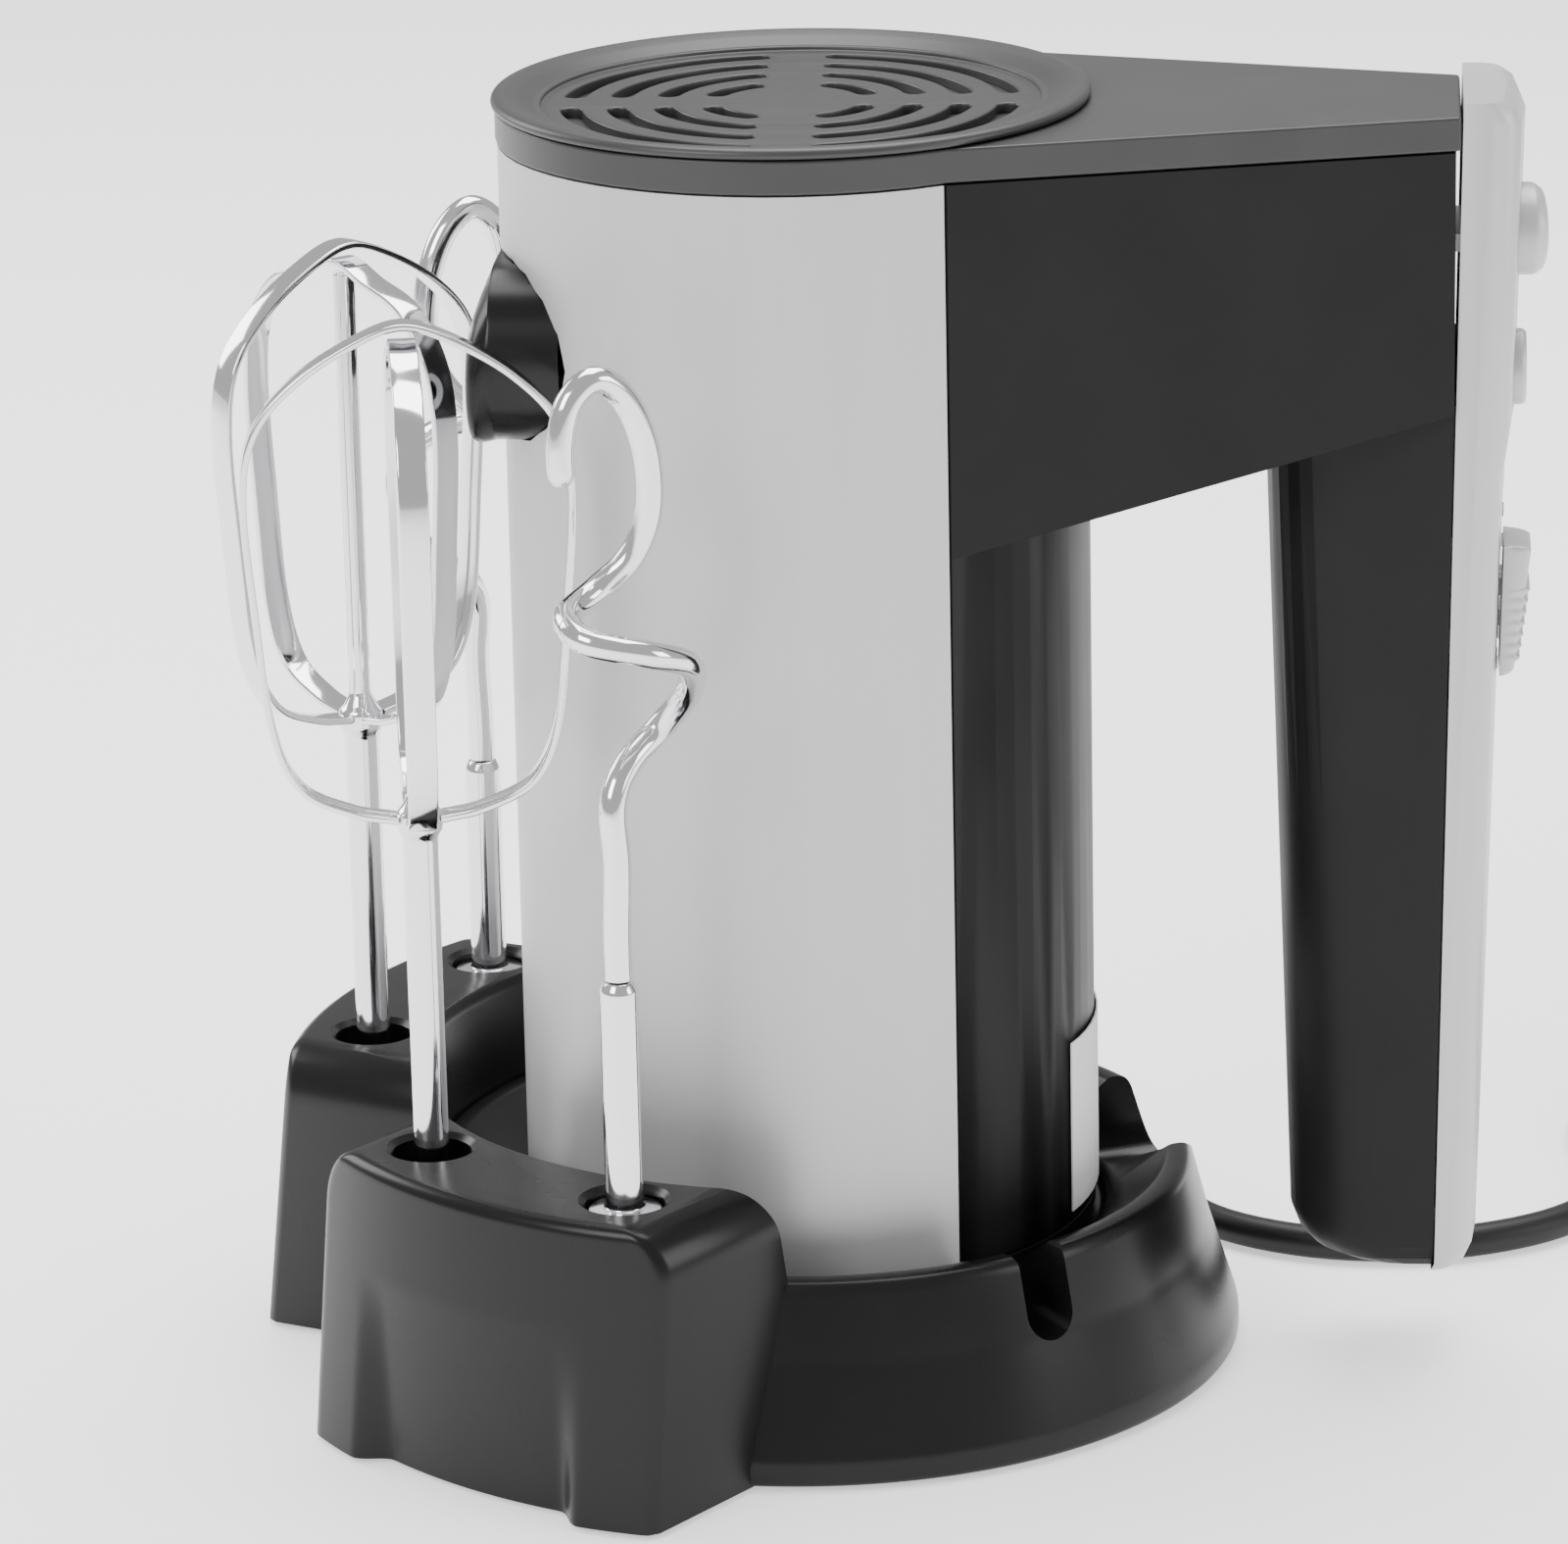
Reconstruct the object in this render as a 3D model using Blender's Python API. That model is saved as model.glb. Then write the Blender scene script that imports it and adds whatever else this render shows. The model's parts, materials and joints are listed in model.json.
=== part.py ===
"""Hand mixer with an upright round motor body, a D handle and a storage stand.

Run with: blender --background --python part.py

All sizes below are in millimetres; MM turns them into the scene's metres when a mesh is
written.  The motor body's axis is vertical.  +X points from that axis to the handle, -X to
the tool sockets, and the stand is turned by STAND_TURN about the same axis.
"""

import math

import bmesh
import bpy
from mathutils import Matrix, Vector

MM = 0.001

# Place of the motor body's axis in the scene
AXIS_X = -14.1
AXIS_Y = 10.5
STAND_TURN = 17.0

# Motor body
BODY_R = 50.3
BODY_BOTTOM = 24.0
HEEL_TOP = 27.7
SHELL_BOTTOM = 28.0
SHELL_TOP = 217.7
TUBE_OUTER_R = 48.3
TUBE_INNER_R = 46.0
SLEEVE_INNER_R = 48.6
SEAM_ANGLE = 55.0
SEAM_GAP_ANGLE = 0.4
SPLIT_GAP = 0.15
GAP = 0.3

# Bridge and grip
BRIDGE_SLOPE = math.radians(15.8)
BRIDGE_OFFSET = 47.5
BRIDGE_LOW_AT_SEAM = 154.0
BRIDGE_RISE = 0.225
COVER_BACK_TOP = 113.5
COVER_BACK_BOTTOM = 110.0
GRIP_NOSE_TOP = 78.5
GRIP_NOSE_BOTTOM = 85.0
HANDLE_BOTTOM = 18.0
HANDLE_TOP = 226.0
HALF_WIDTH_TOP = 17.0
HALF_WIDTH_BOTTOM = 14.5
WALL = 2.4

# Top
PLATE_LOW = 218.0
PLATE_TOP = 223.8
GRILLE_R = 51.0
GRILLE_TOP = 226.0
GRILLE_DISC_R = 41.5
SLOT_OUTER_RADII = (39.2, 31.4, 23.6, 15.8)
SLOT_WIDTH = 3.7
SPOKE_HALF_X = 3.4
SPOKE_HALF_Y = 4.1
SPOKE_TURN = 2.4

# Tool drive
SPINDLE_Y = 18.0
SPINDLE_Z = 178.0
SPINDLE_MOUTH_X = -51.5
SNOUT_FACE_X = -53.0
SNOUT_HALF_WIDTH = 34.5
SNOUT_LOW = 169.5
SNOUT_TOP = 200.0
WORM_LOW = 168.0
WORM_HIGH = 188.0
WHEEL_TEETH = 12

# Controls
EJECT_Z = 201.0
TURBO_Z = 177.0
SLIDER_LOW = 124.0
SLIDER_HIGH = 147.0

# Stand
STAND_BOTTOM = 1.0
RIM_Z = 34.8
SEAT_Z = 23.7
LEDGE_Z = 20.5
WING_TOP = 52.8
WING_ANGLE = 38.7
HOLE_CIRCLE_R = 79.3
HOLE_R = 6.8
HOLE_FLOOR = 7.0
INNER_HOLE_ANGLE = 23.0
OUTER_HOLE_ANGLE = 54.5
NOTCH_ANGLE = 67.0
NOTCH_HALF = 4.75
NOTCH_CENTRE_Z = 24.75

# Tools
TOOL_LENGTH = 190.0
TOOL_TIP_Z = 7.3

# Cord
CORD_R = 3.0
CORD_OUTLET_ANGLE = 84.0
CORD_OUTLET_Z = 35.0
COIL_X = 179.0
COIL_Y = 104.0
COIL_MEAN_R = 33.0
COIL_HALF = 6.2
COIL_HEIGHT = 17.4

BLACK = ("black_plastic", (0.022, 0.022, 0.023), 0.42, 0.0)
DEEP_BLACK = ("stand_plastic", (0.014, 0.014, 0.015), 0.28, 0.0)
SILVER = ("silver_paint", (0.63, 0.63, 0.64), 0.35, 0.45)
CHROME = ("polished_chrome", (0.78, 0.78, 0.80), 0.12, 1.0)
STEEL = ("plain_steel", (0.42, 0.42, 0.44), 0.35, 1.0)
LAMINATION = ("laminated_iron", (0.20, 0.20, 0.21), 0.45, 0.9)
COPPER = ("enamelled_copper", (0.55, 0.22, 0.08), 0.35, 0.8)
BRASS = ("brass", (0.65, 0.48, 0.18), 0.30, 1.0)
NYLON = ("white_nylon", (0.75, 0.74, 0.70), 0.45, 0.0)
CARBON = ("carbon", (0.05, 0.05, 0.05), 0.60, 0.2)
CIRCUIT = ("circuit_board", (0.05, 0.20, 0.09), 0.45, 0.0)
RUBBER = ("rubber", (0.03, 0.03, 0.03), 0.70, 0.0)
PAPER = ("label_film", (0.85, 0.85, 0.85), 0.50, 0.0)


def clear_scene():
    for thing in list(bpy.data.objects):
        bpy.data.objects.remove(thing)


def material(recipe):
    name, colour, roughness, metallic = recipe
    found = bpy.data.materials.get(name)
    if found:
        return found
    made = bpy.data.materials.new(name)
    made.use_nodes = True
    shader = made.node_tree.nodes["Principled BSDF"]
    shader.inputs["Base Color"].default_value = (*colour, 1.0)
    shader.inputs["Roughness"].default_value = roughness
    shader.inputs["Metallic"].default_value = metallic
    return made


def assembly(name, turn=0.0):
    """An empty on the motor body's axis, which its pieces are parented to."""
    empty = bpy.data.objects.new(name, None)
    empty.location = (AXIS_X * MM, AXIS_Y * MM, 0)
    empty.rotation_euler = (0, 0, math.radians(turn))
    bpy.context.scene.collection.objects.link(empty)
    return empty


def piece(name, mesh, recipe, parent, origin=(0, 0, 0), helper=False):
    """Writes a bmesh in millimetres as an object in metres, with its origin at `origin`."""
    bmesh.ops.remove_doubles(mesh, verts=mesh.verts, dist=0.001)
    bmesh.ops.recalc_face_normals(mesh, faces=mesh.faces)
    bmesh.ops.translate(mesh, verts=mesh.verts, vec=-Vector(origin))
    bmesh.ops.scale(mesh, verts=mesh.verts, vec=(MM, MM, MM))
    data = bpy.data.meshes.new(name)
    mesh.to_mesh(data)
    mesh.free()
    data.shade_smooth()
    data.set_sharp_from_angle(angle=math.radians(32))
    made = bpy.data.objects.new(name, data)
    made.location = Vector(origin) * MM
    made.parent = parent
    if recipe:
        data.materials.append(material(recipe))
    if helper:
        made.hide_render = True
        made.display_type = "WIRE"
    bpy.context.scene.collection.objects.link(made)
    return made


def boolean(target, other, operation="DIFFERENCE"):
    step = target.modifiers.new(operation.lower(), "BOOLEAN")
    step.operation = operation
    step.object = other


def cutter(name, mesh, parent):
    return piece(name, mesh, None, parent, helper=True)


def arc(radius, start, end, steps, centre=(0.0, 0.0)):
    """Points on a circle from start to end in degrees, both ends included."""
    points = []
    for i in range(steps + 1):
        angle = math.radians(start + (end - start) * i / steps)
        points.append((centre[0] + radius * math.cos(angle), centre[1] + radius * math.sin(angle)))
    return points


def ring_outline(radius, steps):
    return arc(radius, 0, 360, steps)[:-1]


def rectangle(low_a, low_b, high_a, high_b):
    return [(low_a, low_b), (high_a, low_b), (high_a, high_b), (low_a, high_b)]


PLANES = {
    "Z": lambda a, b, h: (a, b, h),
    "Y": lambda a, b, h: (a, h, b),
    "X": lambda a, b, h: (h, a, b),
}


def prism(outline, low, high, axis="Z", holes=()):
    """An outline with holes, extruded from low to high; low and high may be functions."""
    mesh = bmesh.new()
    place = PLANES[axis]
    ends = []
    for level in (low, high):
        loops = []
        for loop in (outline, *holes):
            verts = []
            for a, b in loop:
                height = level(a, b) if callable(level) else level
                verts.append(mesh.verts.new(place(a, b, height)))
            loops.append(verts)
        ends.append(loops)
    for lower, upper in zip(*ends):
        for i, vert in enumerate(lower):
            j = (i + 1) % len(lower)
            mesh.faces.new((vert, lower[j], upper[j], upper[i]))
    for loops in ends:
        if not holes:
            mesh.faces.new(loops[0])
            continue
        edges = []
        for loop in loops:
            for i, vert in enumerate(loop):
                edges.append(mesh.edges.get((vert, loop[(i + 1) % len(loop)])))
        bmesh.ops.triangle_fill(mesh, edges=edges, use_beauty=False)
    return mesh


def turned(profile, steps=48, start=0.0, sweep=360.0):
    """A closed profile of (radius, z) turned about Z, with end faces if it isn't a full turn."""
    mesh = bmesh.new()
    full = sweep >= 360.0
    rings = []
    for i in range(steps if full else steps + 1):
        angle = math.radians(start + sweep * i / steps)
        ring = []
        for radius, z in profile:
            ring.append(mesh.verts.new((radius * math.cos(angle), radius * math.sin(angle), z)))
        rings.append(ring)
    count = len(profile)
    for i in range(steps):
        here = rings[i]
        after = rings[(i + 1) % len(rings)]
        for j in range(count):
            k = (j + 1) % count
            if profile[j][0] == 0 and profile[k][0] == 0:
                continue
            mesh.faces.new((here[j], after[j], after[k], here[k]))
    if not full:
        mesh.faces.new(rings[0])
        mesh.faces.new(rings[-1])
    bmesh.ops.remove_doubles(mesh, verts=mesh.verts, dist=0.0001)
    return mesh


def lofted(rings):
    """Rings of 3D points with equal counts, skinned, with a face on each end ring."""
    mesh = bmesh.new()
    made = []
    for ring in rings:
        made.append([mesh.verts.new(point) for point in ring])
    for here, after in zip(made, made[1:]):
        for i, vert in enumerate(here):
            j = (i + 1) % len(here)
            mesh.faces.new((vert, here[j], after[j], after[i]))
    mesh.faces.new(made[0])
    mesh.faces.new(made[-1])
    return mesh


def swept(path, outline, upright):
    """An outline of (side, up) points carried along a path; `upright` is never along the path."""
    rings = []
    for i, point in enumerate(path):
        before = path[max(i - 1, 0)]
        after = path[min(i + 1, len(path) - 1)]
        ahead = (Vector(after) - Vector(before)).normalized()
        side = ahead.cross(Vector(upright)).normalized()
        over = side.cross(ahead)
        rings.append([Vector(point) + side * a + over * b for a, b in outline])
    return lofted(rings)


def transported(path, radius, sides):
    """A round rod along a path, with its section carried along without twist."""
    rings = []
    side = None
    for i, point in enumerate(path):
        before = path[max(i - 1, 0)]
        after = path[min(i + 1, len(path) - 1)]
        ahead = (Vector(after) - Vector(before)).normalized()
        if side is None:
            side = ahead.orthogonal().normalized()
        side = (side - ahead * side.dot(ahead)).normalized()
        over = ahead.cross(side)
        ring = []
        for a, b in ring_outline(radius, sides):
            ring.append(Vector(point) + side * a + over * b)
        rings.append(ring)
    return lofted(rings)


def smooth_path(route, per_span):
    """Points on a Catmull-Rom curve through the route's points."""
    points = [Vector(p) for p in route]
    padded = [points[0] * 2 - points[1], *points, points[-1] * 2 - points[-2]]
    path = []
    for i in range(1, len(padded) - 2):
        a, b, c, d = padded[i - 1 : i + 3]
        for step in range(per_span):
            t = step / per_span
            path.append(
                0.5 * (2 * b + (c - a) * t + (2 * a - 5 * b + 4 * c - d) * t**2
                       + (3 * b - a - 3 * c + d) * t**3)
            )
    path.append(points[-1])
    return path


def along_x(mesh, x, y, z):
    """Turns a piece made about Z so that its +Z points to +X, and puts it at x, y, z."""
    bmesh.ops.rotate(mesh, verts=mesh.verts, matrix=Matrix.Rotation(math.radians(90), 3, "Y"))
    bmesh.ops.translate(mesh, verts=mesh.verts, vec=(x, y, z))
    return mesh


def about_z(mesh, angle):
    bmesh.ops.rotate(mesh, verts=mesh.verts, matrix=Matrix.Rotation(math.radians(angle), 3, "Z"))
    return mesh


def between(z, low_value, high_value):
    """A size of the handle that runs evenly from its bottom to its top."""
    share = (z - HANDLE_BOTTOM) / (HANDLE_TOP - HANDLE_BOTTOM)
    return low_value + (high_value - low_value) * share


def cover_back(z):
    return between(z, COVER_BACK_BOTTOM, COVER_BACK_TOP)


def half_width(z):
    return between(z, HALF_WIDTH_BOTTOM, HALF_WIDTH_TOP)


def cover_face(z):
    """The handle cover's outer face, with the soft step above the speed slider."""
    step = 1.2 * min(max((z - 160.0) / 10.0, 0.0), 1.0)
    return 117.2 + (z - HANDLE_BOTTOM) * 0.0275 + step


def bridge_side(x):
    return (BRIDGE_OFFSET - x * math.sin(BRIDGE_SLOPE)) / math.cos(BRIDGE_SLOPE)


def bridge_low(x):
    seam_x = BODY_R * math.cos(math.radians(SEAM_ANGLE))
    return BRIDGE_LOW_AT_SEAM + (x - seam_x) * BRIDGE_RISE


def grip_section(z, inset, reach, shrink=0.0):
    """D-shaped section of the grip: flat at the cover, round towards the fingers."""
    nose = between(z, GRIP_NOSE_BOTTOM, GRIP_NOSE_TOP) + inset + shrink
    width = half_width(z) - inset - shrink * 0.4
    middle = nose + 13.0
    ring = [(cover_back(z) - GAP + reach, -width, z)]
    for i in range(17):
        angle = math.radians(-90 - 11.25 * i)
        ring.append((middle + 13.0 * math.cos(angle), width * math.sin(angle), z))
    ring.append((cover_back(z) - GAP + reach, width, z))
    return ring


def grip_solid(inset, reach, low, high):
    levels = [(low, 7.0), (low + 1.5, 3.6), (low + 4.0, 1.4), (low + 8.0, 0.0), (100.0, 0.0), (high, 0.0)]
    return lofted([grip_section(z, inset, reach, shrink) for z, shrink in levels])


def bridge_solid(inset, reach):
    start = 28.9 - inset
    end = cover_back(172.0) - GAP + reach
    outline = [
        (22.0, -20.0),
        (start, -bridge_side(start) + inset),
        (end, -bridge_side(end) + inset),
        (end, bridge_side(end) - inset),
        (start, bridge_side(start) - inset),
        (22.0, 20.0),
    ]
    return prism(outline, lambda x, y: bridge_low(x) + inset, SHELL_TOP + (2.0 if inset else 0.0))


def racetrack(x, half, low, high, steps=8):
    """A section across X with half-round ends."""
    radius = (high - low) / 2
    middle = (high + low) / 2
    right = arc(radius, -90, 90, steps, (half - radius, middle))
    left = arc(radius, 90, 270, steps, (radius - half, middle))
    return [(x, y, z) for y, z in right + left]


def snout_window():
    half = SNOUT_HALF_WIDTH + 0.4
    return lofted([racetrack(x, half, SNOUT_LOW - 0.4, SNOUT_TOP + 0.4) for x in (-60.0, -20.0)])


def housing_half(name, side, mixer):
    """One clamshell half: rear wall, inner tube under the sleeve, bridge and grip."""
    tube = [(0, SHELL_BOTTOM), (TUBE_OUTER_R, SHELL_BOTTOM), (TUBE_OUTER_R, SHELL_TOP), (0, SHELL_TOP)]
    half = piece(name, turned(tube, 44, 2.0), BLACK, mixer)
    rear = turned(
        [(30, SHELL_BOTTOM), (BODY_R, SHELL_BOTTOM), (BODY_R, SHELL_TOP), (30, SHELL_TOP)],
        22, -SEAM_ANGLE, 2 * SEAM_ANGLE,
    )
    boolean(half, cutter(f"{name}_rear", rear, mixer), "UNION")
    boolean(half, cutter(f"{name}_bridge", bridge_solid(0.0, 0.0), mixer), "UNION")
    boolean(half, cutter(f"{name}_grip", grip_solid(0.0, 0.0, HANDLE_BOTTOM, 176.0), mixer), "UNION")
    boolean(half, cutter(f"{name}_hollow_bridge", bridge_solid(WALL, 6.0), mixer))
    boolean(half, cutter(f"{name}_hollow_grip", grip_solid(WALL, 6.0, HANDLE_BOTTOM + WALL, 186.0), mixer))
    bore = turned([(0, 20.0), (TUBE_INNER_R, 20.0), (TUBE_INNER_R, 225.0), (0, 225.0)], 44, 2.0)
    boolean(half, cutter(f"{name}_bore", bore, mixer))
    window = snout_window()
    boolean(half, cutter(f"{name}_window", window, mixer))
    outlet = cord_outlet_rod(5.2, 40.0, 60.0)
    boolean(half, cutter(f"{name}_outlet", outlet, mixer))
    edge = side * SPLIT_GAP
    keep = rectangle(-70.0, min(edge, side * 70.0), 140.0, max(edge, side * 70.0))
    boolean(half, cutter(f"{name}_side", prism(keep, 0.0, 240.0), mixer), "INTERSECT")


def motor_sleeve(mixer):
    profile = [
        (SLEEVE_INNER_R, SHELL_BOTTOM), (BODY_R, SHELL_BOTTOM), (BODY_R - 0.3, SHELL_TOP),
        (SLEEVE_INNER_R, SHELL_TOP),
    ]
    edge = SEAM_ANGLE + SEAM_GAP_ANGLE
    sleeve = piece("motor_sleeve", turned(profile, 36, edge, 360 - 2 * edge), SILVER, mixer)
    window = snout_window()
    boolean(sleeve, cutter("sleeve_window", window, mixer))
    slot = cord_outlet_rod(5.2, 40.0, 60.0)
    boolean(sleeve, cutter("sleeve_outlet", slot, mixer))
    below = about_z(prism(rectangle(40.0, -5.2, 60.0, 5.2), 20.0, CORD_OUTLET_Z), CORD_OUTLET_ANGLE)
    boolean(sleeve, cutter("sleeve_outlet_slot", below, mixer))


def cord_outlet_rod(radius, start, end):
    rod = turned([(0, start), (radius, start), (radius, end), (0, end)], 20)
    return about_z(along_x(rod, 0, 0, CORD_OUTLET_Z), CORD_OUTLET_ANGLE)


def heel_cap(mixer):
    profile = [
        (0, BODY_BOTTOM), (BODY_R - 1.2, BODY_BOTTOM), (BODY_R, BODY_BOTTOM + 1.2), (BODY_R, HEEL_TOP),
        (0, HEEL_TOP),
    ]
    piece("heel_cap", turned(profile, 44), BLACK, mixer)


def top_plate(mixer):
    end = cover_back(221.0) - GAP
    body = arc(BODY_R, SEAM_ANGLE, 360 - SEAM_ANGLE, 34)
    outline = body + [(end, -bridge_side(end)), (end, bridge_side(end))]
    hole = ring_outline(GRILLE_DISC_R + 1.4, 40)
    plate = piece("top_plate", prism(outline, PLATE_LOW, PLATE_TOP, holes=(hole,)), BLACK, mixer)
    return plate


def slot_outline(outer, quarter):
    """One curved vent slot between the cross-shaped spokes."""
    inner = outer - SLOT_WIDTH
    steps = 4 if outer > 20 else 2
    points = []
    for radius, forward in ((outer, True), (inner, False)):
        first = math.degrees(math.asin((SPOKE_HALF_X + 0.6) / radius))
        last = 90 - math.degrees(math.asin((SPOKE_HALF_Y + 0.6) / radius))
        if quarter % 2:
            first, last = 90 - last, 90 - first
        first += quarter * 90 + SPOKE_TURN
        last += quarter * 90 + SPOKE_TURN
        points += arc(radius, first, last, steps) if forward else arc(radius, last, first, steps)
    return points


def vent_grille(mixer):
    low = GRILLE_TOP - 4.6
    disc_top = GRILLE_TOP - 2.6
    slots = []
    for outer in SLOT_OUTER_RADII:
        for quarter in range(4):
            slots.append(slot_outline(outer, quarter))
    disc = prism(ring_outline(GRILLE_DISC_R + 0.3, 40), low, disc_top, holes=slots)
    grille = piece("vent_grille", disc, BLACK, mixer)
    lip = [
        (GRILLE_DISC_R - 0.4, low), (GRILLE_DISC_R + 0.9, low), (GRILLE_DISC_R + 0.9, PLATE_TOP + GAP),
        (GRILLE_R, PLATE_TOP + GAP), (GRILLE_R, GRILLE_TOP - 0.8), (GRILLE_R - 0.8, GRILLE_TOP),
        (GRILLE_R - 2.0, GRILLE_TOP), (GRILLE_DISC_R - 0.4, disc_top + 0.1),
    ]
    boolean(grille, cutter("grille_lip", turned(lip, 40), mixer), "UNION")


def tool_snout(mixer):
    sections = [
        racetrack(-37.0, SNOUT_HALF_WIDTH, SNOUT_LOW, SNOUT_TOP),
        racetrack(-49.8, SNOUT_HALF_WIDTH, SNOUT_LOW, SNOUT_TOP),
        racetrack(-51.9, SNOUT_HALF_WIDTH, SNOUT_LOW, SNOUT_TOP - 8.0),
        racetrack(SNOUT_FACE_X, SNOUT_HALF_WIDTH - 1.4, SNOUT_LOW + 1.3, SNOUT_TOP - 9.8),
    ]
    snout = piece("tool_snout", lofted(sections), BLACK, mixer)
    pocket = prism(rectangle(-27.0, SNOUT_LOW + 1.1, 27.0, SNOUT_TOP + 4.0), -42.5, -30.0, "X")
    boolean(snout, cutter("snout_pocket", pocket, mixer))
    for side in (-1, 1):
        bore = turned([(0, -60), (6.5, -60), (6.5, -30), (0, -30)], 24)
        hole = cutter(f"snout_bore_{side + 2}", along_x(bore, 0, side * SPINDLE_Y, SPINDLE_Z), mixer)
        boolean(snout, hole)


def cover_section(z, inset, back, shrink=0.0):
    """Section of the handle cover: flange strip, round corners and a slightly crowned face."""
    width = half_width(z) - inset
    face = cover_face(z) - inset - shrink
    corner = 4.0
    middle = face - 0.8 - corner
    ring = [(cover_back(z) + back, -width, z)]
    ring += [(x, y, z) for x, y in arc(corner, -90, 0, 4, (middle, corner - width))]
    ring.append((face, 0.0, z))
    ring += [(x, y, z) for x, y in arc(corner, 0, 90, 4, (middle, width - corner))]
    ring.append((cover_back(z) + back, width, z))
    return ring


def handle_cover(mixer):
    levels = [(18.0, 3.0), (19.2, 1.2), (22.0, 0.0), (60.0, 0.0), (100.0, 0.0), (160.0, 0.0), (165.0, 0.0),
              (170.0, 0.0), (200.0, 0.0), (222.0, 0.0), (224.8, 1.3), (226.0, 3.2)]
    cover = piece("handle_cover", lofted([cover_section(z, 0.0, 0.0, s) for z, s in levels]), SILVER, mixer)
    inner = [(20.4, 0.0), (60.0, 0.0), (160.0, 0.0), (170.0, 0.0), (223.6, 0.0)]
    hollow = lofted([cover_section(z, 2.2, -3.0, s) for z, s in inner])
    boolean(cover, cutter("cover_hollow", hollow, mixer))
    for name, z, radius in (("eject", EJECT_Z, 8.2), ("turbo", TURBO_Z, 6.9)):
        hole = turned([(0, 105), (radius, 105), (radius, 135), (0, 135)], 28)
        boolean(cover, cutter(f"cover_{name}_hole", along_x(hole, 0, 0, z), mixer))
    slot = prism(rectangle(-3.0, 127.0, 3.0, 156.0), 105.0, 135.0, "X")
    boolean(cover, cutter("cover_slider_slot", slot, mixer))


def rating_label(mixer):
    profile = [(BODY_R + 0.3, 30.0), (BODY_R + 0.6, 30.0), (BODY_R + 0.6, 61.0), (BODY_R + 0.3, 61.0)]
    piece("rating_label", turned(profile, 10, -22.0, 44.0), PAPER, mixer)


def strain_relief(mixer):
    profile = [
        (0, 43.0), (6.6, 43.0), (6.6, 45.4), (4.6, 45.4), (4.6, 50.0), (4.4, 52.0), (4.3, 58.0),
        (3.9, 66.0), (3.5, 75.0), (0, 75.0),
    ]
    relief = turned(profile, 16)
    piece("strain_relief", about_z(along_x(relief, 0, 0, CORD_OUTLET_Z), CORD_OUTLET_ANGLE), RUBBER, mixer)


def eject_parts(mixer):
    origin = (118.0, 0, EJECT_Z)
    profile = [
        (0, 116.5), (9.4, 116.5), (9.4, 119.2), (7.85, 119.2), (7.85, 126.6), (6.6, 128.2),
        (4.0, 128.6), (0, 128.6),
    ]
    button = along_x(turned(profile, 32), 0, 0, EJECT_Z)
    piece("eject_button", button, SILVER, mixer, origin)
    slot = rectangle(-7.5, -6.5, 13.0, 6.5)
    bar = prism(rectangle(-33.3, -11.0, 116.2, 11.0), 199.5, 202.5, holes=(slot,))
    bar = piece("ejector_bar", bar, STEEL, mixer, origin)
    holes = [arc(6.6, 0, 360, 20, (side * SPINDLE_Y, SPINDLE_Z))[:-1] for side in (-1, 1)]
    yoke = prism(rectangle(-25.6, SPINDLE_Z - 7.0, 25.6, 201.0), -33.3, -30.8, "X", holes)
    boolean(bar, cutter("ejector_yoke", yoke, mixer), "UNION")


def turbo_button(mixer):
    profile = [
        (0, 117.0), (8.0, 117.0), (8.0, 119.4), (6.5, 119.4), (6.5, 123.8), (5.8, 124.6),
        (4.9, 124.6), (3.6, 124.0), (0, 123.8),
    ]
    piece("turbo_button", along_x(turned(profile, 28), 0, 0, TURBO_Z), SILVER, mixer, (118.0, 0, TURBO_Z))


def speed_slider(mixer):
    base_low = cover_face(SLIDER_LOW) + GAP
    base_high = cover_face(SLIDER_HIGH) + GAP
    outline = [(base_low, SLIDER_LOW), (base_low + 2.2, SLIDER_LOW), (base_low + 2.7, SLIDER_LOW + 1.0)]
    for i in range(5):
        z = SLIDER_LOW + 2.5 + 2.4 * i
        rib = base_low + 2.9 + 0.35 * i
        outline += [(rib, z), (rib + 0.7, z + 0.9), (rib + 0.15, z + 1.8)]
    outline += [(base_high + 5.0, SLIDER_HIGH - 2.2), (base_high + 4.6, SLIDER_HIGH - 0.6),
                (base_high + 3.8, SLIDER_HIGH), (base_high, SLIDER_HIGH)]
    slider = piece("speed_slider", prism(outline, -6.6, 6.6, "Y"), SILVER, mixer, (118.0, 0, 135.5))
    stem = prism(rectangle(-2.5, 129.5, 2.5, 141.5), 112.0, 121.0, "X")
    boolean(slider, cutter("slider_stem", stem, mixer), "UNION")
    foot = prism(rectangle(-7.0, 126.0, 7.0, 145.0), 111.0, 113.5, "X")
    boolean(slider, cutter("slider_foot", foot, mixer), "UNION")


def circuit(mixer):
    board = prism(rectangle(-9.0, 105.0, 9.0, 168.0), 104.0, 105.6, "X")
    piece("speed_board", board, CIRCUIT, mixer)
    switch = prism(rectangle(-6.0, 171.5, 6.0, 183.0), 104.0, 113.5, "X")
    piece("turbo_switch", switch, CARBON, mixer)


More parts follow.
